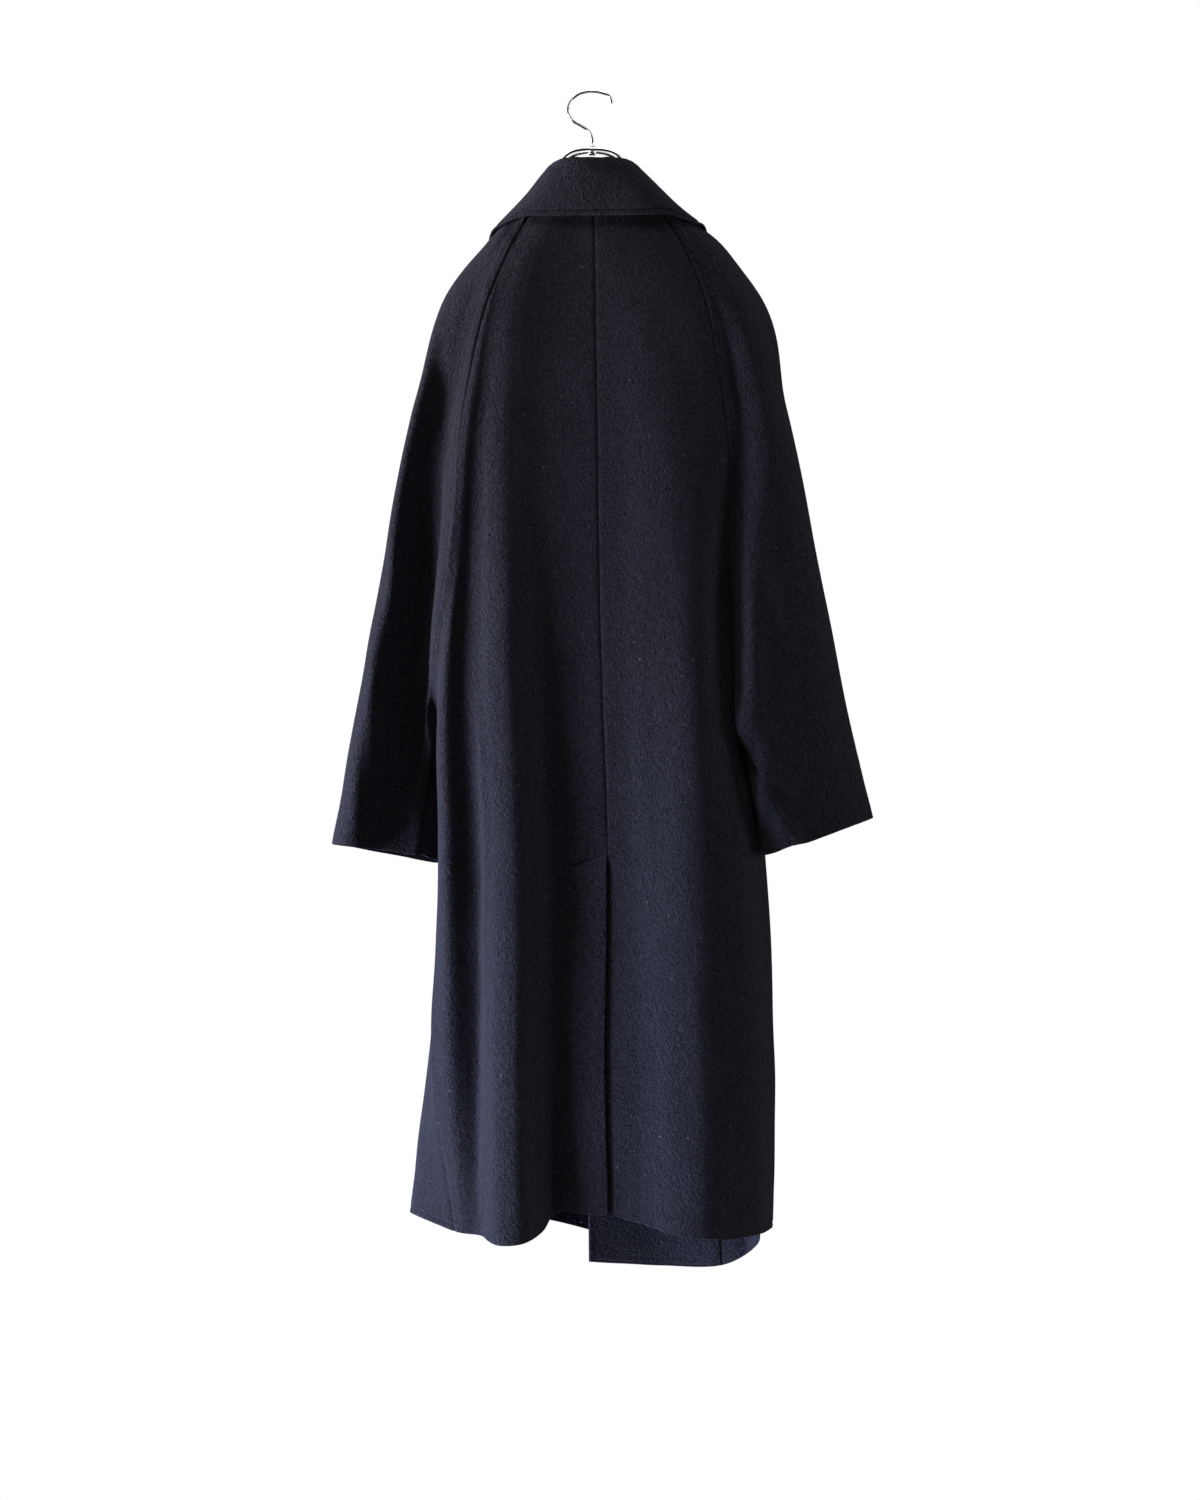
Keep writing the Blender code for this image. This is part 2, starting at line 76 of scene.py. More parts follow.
SEWN_ROWS = (270.0, 400.0)
HEM_FLARE = (8.0, 45.0)
HEM_RISE = 0.6
COLLAR_PRESS = 3.0
COLLAR_PRESS_DROPS = (146.0, 155.0)
COLLAR_PRESS_MARGIN = 20.0

# Stitches, short threads in joined meshes; rings and taper are shares of half a stitch and of its radius
STITCH_PITCH = 3.2
STITCH_LENGTH = 2.3
STITCH_RADIUS = 0.28
STITCH_SIDES = 6
STITCH_RINGS = (-1.0, -0.6, 0.6, 1.0)
STITCH_TAPER = (0.4, 1.0, 1.0, 0.4)
SLEEVE_STITCH_STOP = 40.0

# A direction that no thread or wire runs along
OFF_WAY = (0.31, 0.87, 0.38)

# Mesh: close columns along both edges of a panel, and close rows at the hem and at the vent's top
EDGE_STEPS = (0.0, 0.5, 1.0, 1.6, 2.4, 3.4, 4.6, 6.0, 7.0, 8.0, 9.0, 10.2, 12.0)
EDGE_SHARE = 0.25
ROW_STEP = 5.0
HEM_STEPS = EDGE_STEPS[::-1]
VENT_ROWS = (806.0, 846.0)
VENT_ROW_STEP = 0.6
DENSE = 16
MEET_DIGITS = 3
BACK_COLUMNS = 84
FRONT_COLUMNS = 70
SLEEVE_COLUMNS = 80

# Heights at which the folds are given
YOKE = -200.0
CHEST = -340.0
ARM = -560.0
UNDERARM = -690.0
FOREARM = -760.0
KNEE = -850.0
SHIN = -1040.0

# The same as rows, which count downwards, with the rows of the neck, the cuffs and the hem
NECK_ROW = 112.0
UNDERARM_ROW = -UNDERARM
CUFF_ROW = 815.0
HEM_ROW = 1220.0
BODY_KNOTS = (NECK_ROW, -YOKE, -CHEST, -ARM, -KNEE, -SHIN, HEM_ROW)
RAGLAN_KNOTS = (NECK_ROW, -YOKE, -CHEST, -ARM, UNDERARM_ROW)
SLEEVE_KNOTS = (*RAGLAN_KNOTS, CUFF_ROW)
SIDE_KNOTS = (UNDERARM_ROW, -KNEE, -SHIN, HEM_ROW)
UNDER_SEAM_KNOTS = (UNDERARM_ROW, -FOREARM, CUFF_ROW)

# Neck edge on the left, from the centre back to the raglan seam, over the shoulder, then the front
NECK_BACK = ((-2, 44, -118), (24, 38, -114.5), (50, 16, -105.5))
NECK_SLEEVE = ((50, 16, -105.5), (55, 6, -105.3), (56, -6, -107), (46, -22, -112))
NECK_FRONT = ((46, -22, -112), (44, -31, -118))
NECKS = (NECK_BACK, NECK_SLEEVE, NECK_FRONT)
NECK_AXIS = -2.0

# A fold line runs from the neck edge (share of its length) to the hem; the rest are x, y (and hem z)
Fold = namedtuple("Fold", "neck yoke chest arm knee shin hem")
SleeveFold = namedtuple("SleeveFold", "neck yoke chest arm elbow cuff")
Raglan = namedtuple("Raglan", "neck yoke chest arm underarm")
SideSeam = namedtuple("SideSeam", "knee shin hem")
UnderSeam = namedtuple("UnderSeam", "forearm cuff")

CENTRE_BACK = Fold(0.00, (-3.5, 60), (-5.5, 67), (-8.6, 66), (-17, 64), (-15, 66), (-19, 62, -1201))

BACK_LEFT_FOLDS = (
    CENTRE_BACK,
    Fold(0.25, (24, 61.5), (26, 69), (28, 65.5), (16, 60.5), (14, 62), (12, 58, -1199.5)),
    Fold(0.45, (52, 65), (58, 75), (56, 69), (42, 62), (40, 59), (38, 48, -1200)),
    Fold(0.57, (66, 67.5), (77, 79), (75, 79.5), (60, 78.5), (57, 74), (52, 66, -1217.5)),
    Fold(0.68, (76, 67.5), (92, 81), (90, 84.5), (80, 90), (79, 90), (75, 89, -1226.5)),
    Fold(0.78, (83, 66), (102, 79), (107, 79.5), (103, 83), (102, 82), (99, 86, -1228)),
    Fold(0.86, (88, 65), (110, 76), (121, 69), (113, 73), (112, 69), (111, 73, -1226)),
    Fold(0.92, (91, 64), (118, 75), (136, 65), (122.5, 60), (121, 50), (119, 59, -1223)),
    Fold(0.97, (94, 63.5), (126, 77), (151, 71.5), (153, 66), (152, 50), (138, 50, -1222)),
)
BACK_RIGHT_FOLDS = (
    CENTRE_BACK,
    Fold(0.20, (-26, 60), (-30, 68), (-32, 68.5), (-38, 69), (-44, 72), (-50, 70, -1208)),
    Fold(0.40, (-46, 59), (-58, 71), (-62, 73.5), (-66, 80), (-78, 82), (-88, 82, -1218)),
    Fold(0.60, (-70, 57), (-84, 70), (-90, 75), (-98, 86), (-110, 84), (-118, 80, -1222)),
    Fold(0.80, (-92, 54), (-108, 65), (-116, 69), (-128, 79), (-140, 76), (-148, 68, -1224.5)),
    Fold(0.93, (-102, 51), (-126, 60), (-138, 48), (-158, 65), (-170, 61), (-178, 49, -1223)),
)
FRONT_LEFT_FOLDS = (
    Fold(0.15, (92, -41), (131, -50), (155, -34), (157, -30), (178, -16), (195, -2, -1210)),
    Fold(0.30, (86, -44), (121, -62), (147, -64), (160, -76), (176, -66), (186, -56, -1222)),
    Fold(0.50, (75, -48), (98, -76), (118, -84), (130, -106), (136, -115), (142, -124, -1240)),
    Fold(0.70, (62, -51), (66, -86), (60, -94), (58, -118), (58, -130), (58, -142, -1250)),
    Fold(0.85, (50, -53), (35, -88), (-5, -100), (-15, -117), (-16, -126), (-18, -134, -1255)),
    Fold(1.00, (40, -54), (5, -88), (-70, -102), (-88, -116), (-92, -127), (-96, -138, -1257)),
)
FRONT_RIGHT_FOLDS = (
    Fold(0.15, (-96, -43), (-128, -50), (-150, -41), (-191, -36), (-197, -36), (-197, -35, -1243)),
    Fold(0.30, (-90, -46), (-118, -60), (-145, -65), (-173, -78), (-178, -82), (-182, -85, -1266)),
    Fold(0.50, (-78, -50), (-90, -72), (-110, -80), (-136, -93), (-142, -101), (-148, -107, -1286.5)),
    Fold(0.70, (-64, -53), (-62, -78), (-65, -84), (-75, -100), (-77, -109), (-78, -118, -1290)),
    Fold(0.85, (-52, -54), (-36, -78), (-20, -82), (-25, -95), (-29, -103), (-32, -110, -1286)),
    Fold(1.00, (-44, -54), (-12, -77), (14, -80), (8, -90), (6, -97), (4, -103, -1283)),
)
RAGLAN_BACK_LEFT = Raglan(1.0, (96, 62.5), (134, 72.5), (160, 65), (168, 20))
RAGLAN_FRONT_LEFT = Raglan(0.0, (96, -38), (136, -40), (158, -20), (168, 20))
RAGLAN_BACK_RIGHT = Raglan(1.0, (-108, 48), (-138, 54), (-150, 30), (-155, 36))
RAGLAN_FRONT_RIGHT = Raglan(0.0, (-100, -40), (-132, -42), (-150, -28), (-155, 36))
SIDE_LEFT = SideSeam((165, 22), (172, 30), (147, 43, -1221.5))
SIDE_RIGHT = SideSeam((-185, 18), (-196, 14), (-195, 10, -1223))

# Sleeves, from the back raglan seam over the outside to the front raglan seam
SLEEVE_LEFT_FOLDS = (
    SleeveFold(0.04, (101, 60), (139, 66), (166, 58), (171, 22), (190, 12, -823)),
    SleeveFold(0.09, (106, 57), (146, 58), (170.5, 47), (177, 17), (197, 12.5, -822)),
    SleeveFold(0.15, (112, 52), (155, 54), (165, 28), (181, 5), (207, 14, -820)),
    SleeveFold(0.24, (121, 46), (168, 56), (178, 12), (198, 7), (226, 18, -817)),
    SleeveFold(0.38, (136, 32), (181, 60), (226, 43), (248, 39), (267, 36, -812)),
    SleeveFold(0.50, (143, 0), (187, 20), (234, 9), (258, 7), (280, 6, -811)),
    SleeveFold(0.62, (134, -20), (178, -27), (219, -28), (243, -25), (263, -22, -815)),
    SleeveFold(0.75, (120, -33), (163, -41), (195, -35), (213, -33), (230, -31, -823)),
    SleeveFold(0.88, (107, -38), (149, -45), (172, -29), (186, -20), (188, -16, -832)),
    SleeveFold(0.94, (101, -38.5), (142, -43), (164, -26), (167, 4), (166, -3, -832)),
)
SLEEVE_RIGHT_FOLDS = (
    SleeveFold(0.06, (-115, 47.5), (-152, 47), (-156, 52), (-158, 58), (-221, 58.5, -809)),
    SleeveFold(0.12, (-122, 46), (-170, 52), (-164, 60), (-168, 66), (-228, 52, -808)),
    SleeveFold(0.25, (-138, 41), (-184, 50), (-188, 56), (-206, 58), (-246, 46, -802)),
    SleeveFold(0.38, (-155, 25), (-200, 35), (-228, 43), (-248, 42), (-275, 33, -792)),
    SleeveFold(0.50, (-168, 0), (-210, 2), (-254, 4), (-281, 3), (-303, 3, -783)),
    SleeveFold(0.62, (-154, -21), (-197, -27), (-238, -26), (-262, -25), (-284, -25, -790)),
    SleeveFold(0.75, (-134, -35), (-172, -42), (-200, -36), (-222, -30), (-245, -28, -803)),
    SleeveFold(0.88, (-115, -40), (-152, -47), (-170, -26), (-176, 0), (-198, 4, -820)),
    SleeveFold(0.94, (-107, -41), (-142, -45), (-157, -17), (-160, 28), (-185, 49, -820)),
)
UNDER_SEAM_LEFT = UnderSeam((180, 10), (184, 10, -822))
UNDER_SEAM_RIGHT = UnderSeam((-189, 63), (-212, 60, -811))

# Soft local pushes of the cloth about a place
Push = namedtuple("Push", "centre reach shift")
PUSHES = (
    Push((-134, 5, -160), (50, 70, 34), (-3.5, 0, 6)),
    Push((101, 27, -162), (16, 26, 26), (0, 12, 0)),
    Push((161, 55, -325), (12, 20, 60), (0, -7, 0)),
    Push((-78, 45, -122), (30, 32, 36), (0, 11, 0)),
    Push((75, 30, -110), (25, 40, 25), (-3, 0, 0)),
    Push((-120, 72, -880), (18, 40, 330), (0, 2, 0)),
    Push((-170, 58, -620), (10, 20, 60), (0, 5, 0)),
    Push((-130, -105, -1262), (60, 50, 45), (0, 6, 0)),
    Push((50, 70, -350), (22, 40, 90), (0, -2.5, 0)),
    Push((-108, 76, -680), (28, 40, 110), (0, 6, 0)),
    Push((-112, 80, -1170), (26, 40, 90), (0, 3, 0)),
    Push((-158, 58, -684), (14, 18, 22), (4, 10, -3)),
    Push((-176, 44, -765), (15, 20, 42), (0, 15, 0)),
    Push((-181, 62, -738), (10, 14, 30), (0, 3, 0)),
    Push((-198, 61, -785), (10, 14, 30), (0, 2, 0)),
    Push((168, 27, -672), (6, 14, 26), (0, -16, 0)),
    Push((178, 21, -668), (5, 10, 24), (3, 5, 0)),
    Push((172, 14, -745), (19, 28, 52), (0, -22, 0)),
    Push((200, -20, -830), (40, 20, 16), (0, 0, 3.5)),
    Push((22, 60, -1020), (26, 50, 190), (0, 4, 0)),
    Push((-55, 80, -1000), (28, 60, 170), (0, -4, 0)),
    Push((-138, 66, -1130), (20, 40, 110), (0, 2.5, 0)),
    Push((130, 45, -1010), (12, 40, 120), (0, -1.5, 0)),
    Push((122, 55, -1040), (7, 40, 120), (0, -2.5, 0)),
    Push((110, 45, -232), (8, 30, 30), (0, 2.5, 0)),
    Push((-52, 48, -120), (26, 30, 34), (0, 3, 0)),
    Push((210, 36, -545), (9, 14, 80), (0, 3, 0)),
    Push((233, 34, -690), (9, 14, 80), (0, 3, 0)),
    Push((250, 33, -800), (9, 14, 60), (0, 2.5, 0)),
    Push((150, 66, -480), (24, 30, 95), (-7, 0, 0)),
    Push((131, 68, -490), (9, 20, 70), (0, 2, 0)),
    Push((224, 42, -545), (12, 16, 85), (-4, -4, 0)),
    Push((247, 39, -680), (12, 16, 75), (-2.5, -2.5, 0)),
    Push((264, 36, -795), (12, 16, 60), (-2, -2, 0)),
    Push((116, 66, -980), (10, 40, 260), (-4, 0, 0)),
    Push((-199, -38, -1250), (18, 30, 60), (13, 4, 8)),
    Push((-183, -88, -1268), (12, 26, 40), (5, 1, -4)),
    Push((-176, -62, -1255), (16, 30, 40), (0, -25, 0)),
    Push((75, -140, -1250), (60, 40, 30), (0, 0, 9)),
    Push((-18, -134, -1255), (30, 40, 30), (0, 0, -3)),
)

# Soft ridges of each panel, and troughs where the height is below 0, along a line of x, z
Crease = namedtuple("Crease", "height width line")
CREASES = {
    "back_left": (
        Crease(2.2, 4.0, ((118, -652), (112, -794), (111.5, -1005), (113, -1096), (116, -1196))),
        Crease(1.3, 3.5, ((113, -1110), (116, -1196), (118, -1230))),
        Crease(-1.0, 4.0, ((126, -425), (128, -500), (128, -594))),
        Crease(0.7, 8.0, ((62, -610), (55, -760), (50, -905))),
        Crease(0.8, 7.0, ((64, -960), (58, -1060), (56, -1170))),
    ),
    "back_right": (
        Crease(0.6, 9.0, ((-48, -520), (-52, -660), (-50, -780))),
        Crease(-0.5, 9.0, ((-76, -470), (-82, -610), (-88, -720))),
        Crease(-0.5, 9.0, ((-62, -960), (-70, -1080), (-74, -1180))),
        Crease(0.5, 9.0, ((-104, -900), (-112, -1020), (-118, -1150))),
    ),
    "sleeve_left": (
        Crease(1.1, 6.0, ((206, -470), (224, -640), (240, -790))),
        Crease(-1.1, 6.0, ((188, -420), (210, -560), (228, -690))),
        Crease(-0.8, 7.0, ((150, -250), (168, -350), (180, -430))),
    ),
    "sleeve_right": (
        Crease(-1.2, 7.0, ((-192, -400), (-212, -560), (-230, -720))),
        Crease(1.0, 6.0, ((-222, -450), (-246, -620), (-266, -760))),
        Crease(0.9, 6.0, ((-150, -230), (-176, -330), (-190, -420))),
    ),
    "front_left": (
        Crease(-2.0, 9.0, ((104, -330), (116, -540), (124, -800))),
        Crease(1.6, 8.0, ((72, -430), (66, -760), (62, -1150))),
        Crease(-1.4, 7.0, ((-18, -540), (-26, -860), (-30, -1180))),
        Crease(1.2, 6.0, ((22, -700), (16, -960), (14, -1210))),
    ),
    "front_right": (
        Crease(-1.7, 8.0, ((-116, -340), (-136, -620), (-152, -980))),
        Crease(1.3, 7.0, ((-88, -450), (-98, -800), (-104, -1200))),
    ),
}
CREASE_FADE = 60.0
CREASE_FADE_SHARE = 0.3
CREASE_CUT_SHARE = 0.2
CREASE_MARGIN = 14.0

# Slight unevenness of the hanging cloth, as waves with lengths along x and z
Wave = namedtuple("Wave", "height x_length z_length start")
WAVES = (
    Wave(0.50, 170, 420, 0.4),
    Wave(0.34, 95, -610, 2.1),
    Wave(0.30, -260, 130, 4.0),
    Wave(0.14, 61, 240, 1.2),
    Wave(0.10, -47, 88, 0.7),
)

# Cut of each cloth piece before sewing, in metres, with 15 mm seam allowances and 40 mm hems
Cut = namedtuple("Cut", "width length area")

# The two halves of the coat; side is 1 on the left and -1 on the right
Half = namedtuple("Half", "word side back front sleeve raglan_back raglan_front side_seam under_seam")
HALVES = (
    Half("left", 1, BACK_LEFT_FOLDS, FRONT_LEFT_FOLDS, SLEEVE_LEFT_FOLDS,
         RAGLAN_BACK_LEFT, RAGLAN_FRONT_LEFT, SIDE_LEFT, UNDER_SEAM_LEFT),
    Half("right", -1, BACK_RIGHT_FOLDS, FRONT_RIGHT_FOLDS, SLEEVE_RIGHT_FOLDS,
         RAGLAN_BACK_RIGHT, RAGLAN_FRONT_RIGHT, SIDE_RIGHT, UNDER_SEAM_RIGHT),
)

# Collar on the left, from the centre back round to the front end: neck seam, roll line, outer edge
Section = namedtuple("Section", "seam roll edge")
COLLAR_SECTIONS = (
    Section((-2, 44, -117), (1, 46, -82.5), (-5, 60, -145)),
    Section((22, 39, -114), (19, 43, -82.0), (39, 57, -145)),
    Section((42, 23, -106), (34, 31, -82.5), (74, 45, -144)),
    Section((53, 6, -104), (45, 9, -87.0), (98, 21, -151)),
    Section((53, -8, -105), (47, -13, -95.0), (108.5, 4, -156)),
    Section((45, -28, -109), (48, -38, -111.0), (112.5, -24, -174)),
    Section((42, -48, -148), (42, -62, -156.0), (110, -60, -212)),
    Section((38, -60, -200), (33, -76, -212.0), (88, -82, -270)),
    Section((24, -80, -268), (17, -96, -276.0), (40, -102, -318)),
)

# Shifts of the collar's outer edge on the right side, by section
COLLAR_RIGHT_SHIFTS = {2: (0, -6, 0), 4: (0, 0, 3.5), 5: (0, 0, 3)}

# Planes about which the collar's lines are mirrored, the form of its roll and fall, and its mesh
COLLAR_ROLL_AXIS = -1.5
COLLAR_EDGE_AXIS = -5.0
COLLAR_ROLL = 5.0
COLLAR_STAND_SHARE = 0.72
COLLAR_APEX_OUT = 3.0
COLLAR_FALL_OUT = 8.0
COLLAR_BULGE = 2.0
COLLAR_SPANS = 16
COLLAR_COLUMNS = 30

# Vent and facing
VENT_TOP = 824.0
VENT_OPEN_ROWS = (819.0, 834.0)
VENT_OPEN = 1.0
VENT_OPEN_REACH = 12.0
VENT_LIFT_REACH = (5.0, 26.0)
VENT_LIFT = 1.8
VENT_SINK = 1.2
VENT_DEPTH = 3.0
VENT_STITCH = Crease(-3.0, 1.5, ((25, -834), (-18, -818)))
VENT_REACH_LEFT = 50.0
VENT_REACH_RIGHT = 14.0
FACING_TOP = 448.0
FACING_EDGE_X = -148.0
FACING_HEM_RISE = 5.0
FACING_GAP = 0.1
FACING_THIN = 0.08
FACING_TAPER = 12.0

# Hanger: the hook as x, z, the ferrule as radius, z, and one half of the arch between the arms as x, y, z
WIRE_RADIUS = 2.0
WIRE_CLEARANCE = 1.2
HOOK_PATH = (
    (-21.6, -11.5), (-19.0, -3.5), (-9.0, 1.0), (2.2, 2.0), (14.0, -0.5), (23.0, -8.5),
    (26.5, -18.5), (22.0, -28.5), (12.0, -35.0), (3.5, -41.0), (0.0, -48.0), (0.0, -55.7),
)
HOOK_TIP_POINTS = 2.0
HOOK_TIP_START = 0.05
FERRULE_PROFILE = (
    (1.2, -55.9), (3.2, -56.2), (4.2, -57.0), (4.6, -58.4), (4.6, -60.0), (4.2, -60.5), (4.6, -61.0),
    (4.6, -63.4), (4.2, -63.9), (4.6, -64.4), (4.6, -66.2), (4.2, -67.3), (3.2, -67.9), (1.2, -68.0),
)
ARCH_PATH = ((0, 6.95, -62), (26, 11, -68), (39, 11, -87), (43, 10, -107))
ARM_SHARE = 0.5
ARM_ROWS = (152.0, 166.0, 180.0, 194.0, 206.0)
ARM_SLOPE_STEP = 1.0
CROWN_NECK = 0.50
HOOK_POINTS = 120
ARM_POINTS = 160
WIRE_SIDES = 16
FERRULE_SIDES = 48

# Wool: tints from the dark to the light of its nap, and the sizes of its patterns in cycles for each metre
WOOL_TINTS = ((0.0115, 0.0110, 0.0142), (0.0182, 0.0177, 0.0223), (0.030, 0.029, 0.0365))
# Inner faces: tints about a sixth of the wool's, painted shade for the coat's shaded insides; no sheen
# there, as on an unbrushed reverse
INSIDE_PAINTED_SHADE_TINTS = ((0.0015, 0.0015, 0.002), (0.003, 0.003, 0.0038), (0.006, 0.006, 0.0075))
TINT_PLACES = (0.41, 0.5, 0.59)
WOOL_SHEEN = 0.10
FLECK_SCALE = 620.0
PEBBLE_SCALE = 260.0
PEBBLE_SHARE = 0.3
NAP_DEPTH = 0.0040
LINT_SCALE = 40.0
LINT_REACH = 0.03
LINT_COLOUR = (0.16, 0.15, 0.16, 1.0)

# Chrome wire: drawing marks in cycles for each metre, and the roughness between which they vary
MARK_SCALE = 900.0
MARK_ROUGHNESS = (0.08, 0.2)

# Camera, with its lens and sensor in millimetres and its place in metres
CAMERA_PLACE = (-0.00864, 2.7, -0.70956)
CAMERA_TURN = (90.0, 0.0, 180.0)
LENS = 60.0
SENSOR = 36.0

# Floor in metres, ambient light, and the side from which bright reflections come
FLOOR_Z = -1.85
FLOOR_RADIUS = 0.95
FLOOR_SIDES = 96
AMBIENT = 0.065
AMBIENT_COLOUR = (0.93, 0.90, 1.0, 1.0)
WHITE = (1.0, 1.0, 1.0, 1.0)
GLEAM_WAY = (0.1, -0.6, 1.0)
GLEAM_RANGE = (-0.2, 0.1)

# Soft lights: place, target and size in metres, power in watts, and spread of the beam in degrees
Light = namedtuple("Light", "name place target size power colour spread", defaults=(180,))
LIGHTS = (
    Light("window", (2.6, 0.75, -1.2), (0, 0, -0.9), (1.0, 1.4), 138.0, (1.0, 0.96, 0.98)),
    Light("low_window", (2.6, 0.75, -1.5), (0, 0, -1.17), (1.0, 0.5), 12.0, (0.32, 0.50, 1.0), 45),
    Light("room", (2.2, 0.9, 0.2), (0, 0, -0.5), (1.2, 1.2), 11.5, (1.0, 0.94, 0.92)),
    Light("ceiling", (0.2, 1.2, 1.2), (0, 0, -0.1), (1.0, 1.0), 9.0, (1.0, 0.96, 0.94)),
    Light("right_wall", (-2.3, 0.42, -0.75), (0, 0, -0.75), (0.6, 1.4), 17.0, (0.97, 0.94, 1.0)),
    Light("far_room", (0.9, -2.8, 0.3), (0, 0, -0.7), (1.4, 1.6), 20.0, (1.0, 0.98, 0.97)),
)


def smooth(knots, points, at):
    """Cubic curve through points given at rising knots, read at the values in at."""
    knots = np.asarray(knots, float)
    points = np.asarray(points, float)
    at = np.asarray(at, float)
    slopes = np.gradient(points, knots, axis=0)
    low = np.clip(np.searchsorted(knots, at, side="right") - 1, 0, len(knots) - 2)
    width = (knots[low + 1] - knots[low])[:, None]
    share = (at - knots[low])[:, None] / width
    blend = share * share * (3.0 - 2.0 * share)
    start_push = share * (1.0 - share) ** 2 * width
    end_push = share * share * (share - 1.0) * width
    straight = points[low] * (1.0 - blend) + points[low + 1] * blend
    return straight + slopes[low] * start_push + slopes[low + 1] * end_push


def chord_knots(points):
    """Lengths from the first of a row of points to each of them."""
    steps = np.linalg.norm(np.diff(points, axis=0), axis=1)
    return np.concatenate([[0.0], np.cumsum(steps)])


def along(points, shares):
    """Points at shares of the length of a smooth curve through points."""
    points = np.asarray(points, float)
    knots = chord_knots(points)
    return smooth(knots, points, np.asarray(shares) * knots[-1])


def mirrored(points, axis):
    """The same points on the other side of the plane x = axis."""
    flipped = np.array(points, float)
    flipped[..., 0] = 2.0 * axis - flipped[..., 0]
    return flipped


def on_side(neck, half):
    """A stretch of the neck edge on one half of the coat."""
    return np.array(neck, float) if half.side > 0 else mirrored(neck, NECK_AXIS)


def row_values(knots, spans):
    """Positions with the given number of even spans between knots."""
    values = [knots[0]]
    for first, last, count in zip(knots, knots[1:], spans):
        values.extend(np.linspace(first, last, count + 1)[1:])
    return np.array(values)


def even_rows(first, last, step):
    """Evenly spaced rows from first to last, about a step apart."""
    return np.linspace(first, last, max(2, int(round((last - first) / step)) + 1))


def upper_points(fold, neck):
    """Points of a fold or a raglan seam from the neck edge down to the arm."""
    top = along(neck, [fold.neck])[0]
    return top, (*fold.yoke, YOKE), (*fold.chest, CHEST), (*fold.arm, ARM)


def body_line(fold, neck, rows):
    """A body fold from the neck edge down to the hem."""
    lower = ((*fold.knee, KNEE), (*fold.shin, SHIN), fold.hem)
    return smooth(BODY_KNOTS, upper_points(fold, neck) + lower, rows)


def sleeve_line(fold, neck, rows):
    """A sleeve fold from the neck edge down to the cuff."""
    lower = ((*fold.elbow, UNDERARM), fold.cuff)
    return smooth(SLEEVE_KNOTS, upper_points(fold, neck) + lower, rows)


def edge_line(raglan, neck, lower, lower_knots, rows):
    """A panel's outer edge: the raglan seam to the underarm, then the lower points of its other seam."""
    underarm = (*raglan.underarm, UNDERARM)
    above = rows <= UNDERARM_ROW
    line = np.empty((len(rows), 3))
    line[above] = smooth(RAGLAN_KNOTS, (*upper_points(raglan, neck), underarm), rows[above])
    line[~above] = smooth(lower_knots, (underarm, *lower), rows[~above])
    return line


def across(lines, middle_columns):
    """Grid whose rows run smoothly through the fold lines, with close columns along both edges."""
    lines = np.asarray(lines)
    grid = []
    for row in range(lines.shape[1]):
        points = lines[:, row]
        knots = chord_knots(points)
        dense = row_values(knots, [DENSE] * (len(knots) - 1))
        reach = chord_knots(smooth(knots, points, dense))
        edge = np.array(EDGE_STEPS) * min(1.0, EDGE_SHARE * reach[-1] / EDGE_STEPS[-1])
        middle = np.linspace(edge[-1], reach[-1] - edge[-1], middle_columns + 2)[1:-1]
        places = np.concatenate([edge, middle, reach[-1] - edge[::-1]])
        grid.append(smooth(knots, points, np.interp(places, reach, dense)))
    return np.array(grid)


def unit(vectors):
    """Vectors of length one."""
    return vectors / np.linalg.norm(vectors, axis=-1, keepdims=True)


def grid_normals(grid, side):
    """Normals of a grid, pointing out of the coat; side is 1 on the left and -1 on the right."""
    return unit(np.cross(np.gradient(grid, axis=1), np.gradient(grid, axis=0)) * side)


def shared_normals(panels):
    """Normals of all panels, averaged where two meet at a seam, so that their walls are mitred.

    More than two meet at an underarm, where the cloth faces down.
    """
    normals = {name: grid_normals(grid, side) for name, (grid, side) in panels.items()}
    edges = {name: np.concatenate([grid[:, 0], grid[:, -1]]) for name, (grid, side) in panels.items()}
    meeting = {}
    for name, normal in normals.items():
        ends = np.concatenate([normal[:, 0], normal[:, -1]])
        for corner, end in zip(np.round(edges[name], MEET_DIGITS), ends):
            meeting.setdefault(tuple(corner), []).append(end)
    for name, normal in normals.items():
        mitres = []
        for corner in np.round(edges[name], MEET_DIGITS):
            found = meeting[tuple(corner)]
            mitres.append(np.sum(found, axis=0) if len(found) <= 2 else (0.0, 0.0, -1.0))
        mitres = unit(np.array(mitres))
        normal[:, 0] = mitres[:len(normal)]
        normal[:, -1] = mitres[len(normal):]
    return normals


def edge_reach(grid):
    """Distances along the cloth from a grid's first and last columns and from its last row."""
    steps = np.linalg.norm(np.diff(grid, axis=1), axis=2)
    first = np.concatenate([np.zeros((len(grid), 1)), np.cumsum(steps, axis=1)], axis=1)
    drops = np.linalg.norm(np.diff(grid, axis=0), axis=2)
    fall = np.concatenate([np.zeros((1, grid.shape[1])), np.cumsum(drops, axis=0)], axis=0)
    return first, first[:, -1:] - first, fall[-1:] - fall


def rise(values, low, high):
    """0 below low, 1 above high, and smooth between."""
    share = np.clip((values - low) / (high - low), 0.0, 1.0)
    return share * share * (3.0 - 2.0 * share)


def hump(values, middle, width):
    """A soft hump that is 1 at its middle."""
    return np.exp(-((values - middle) / width) ** 2)


def pushed(grid):
    """A grid after all the local pushes."""
    moved = grid.copy()
    for push in PUSHES:
        away = (grid - push.centre) / push.reach
        moved += np.exp(-np.sum(away * away, axis=-1, keepdims=True)) * push.shift
    return moved


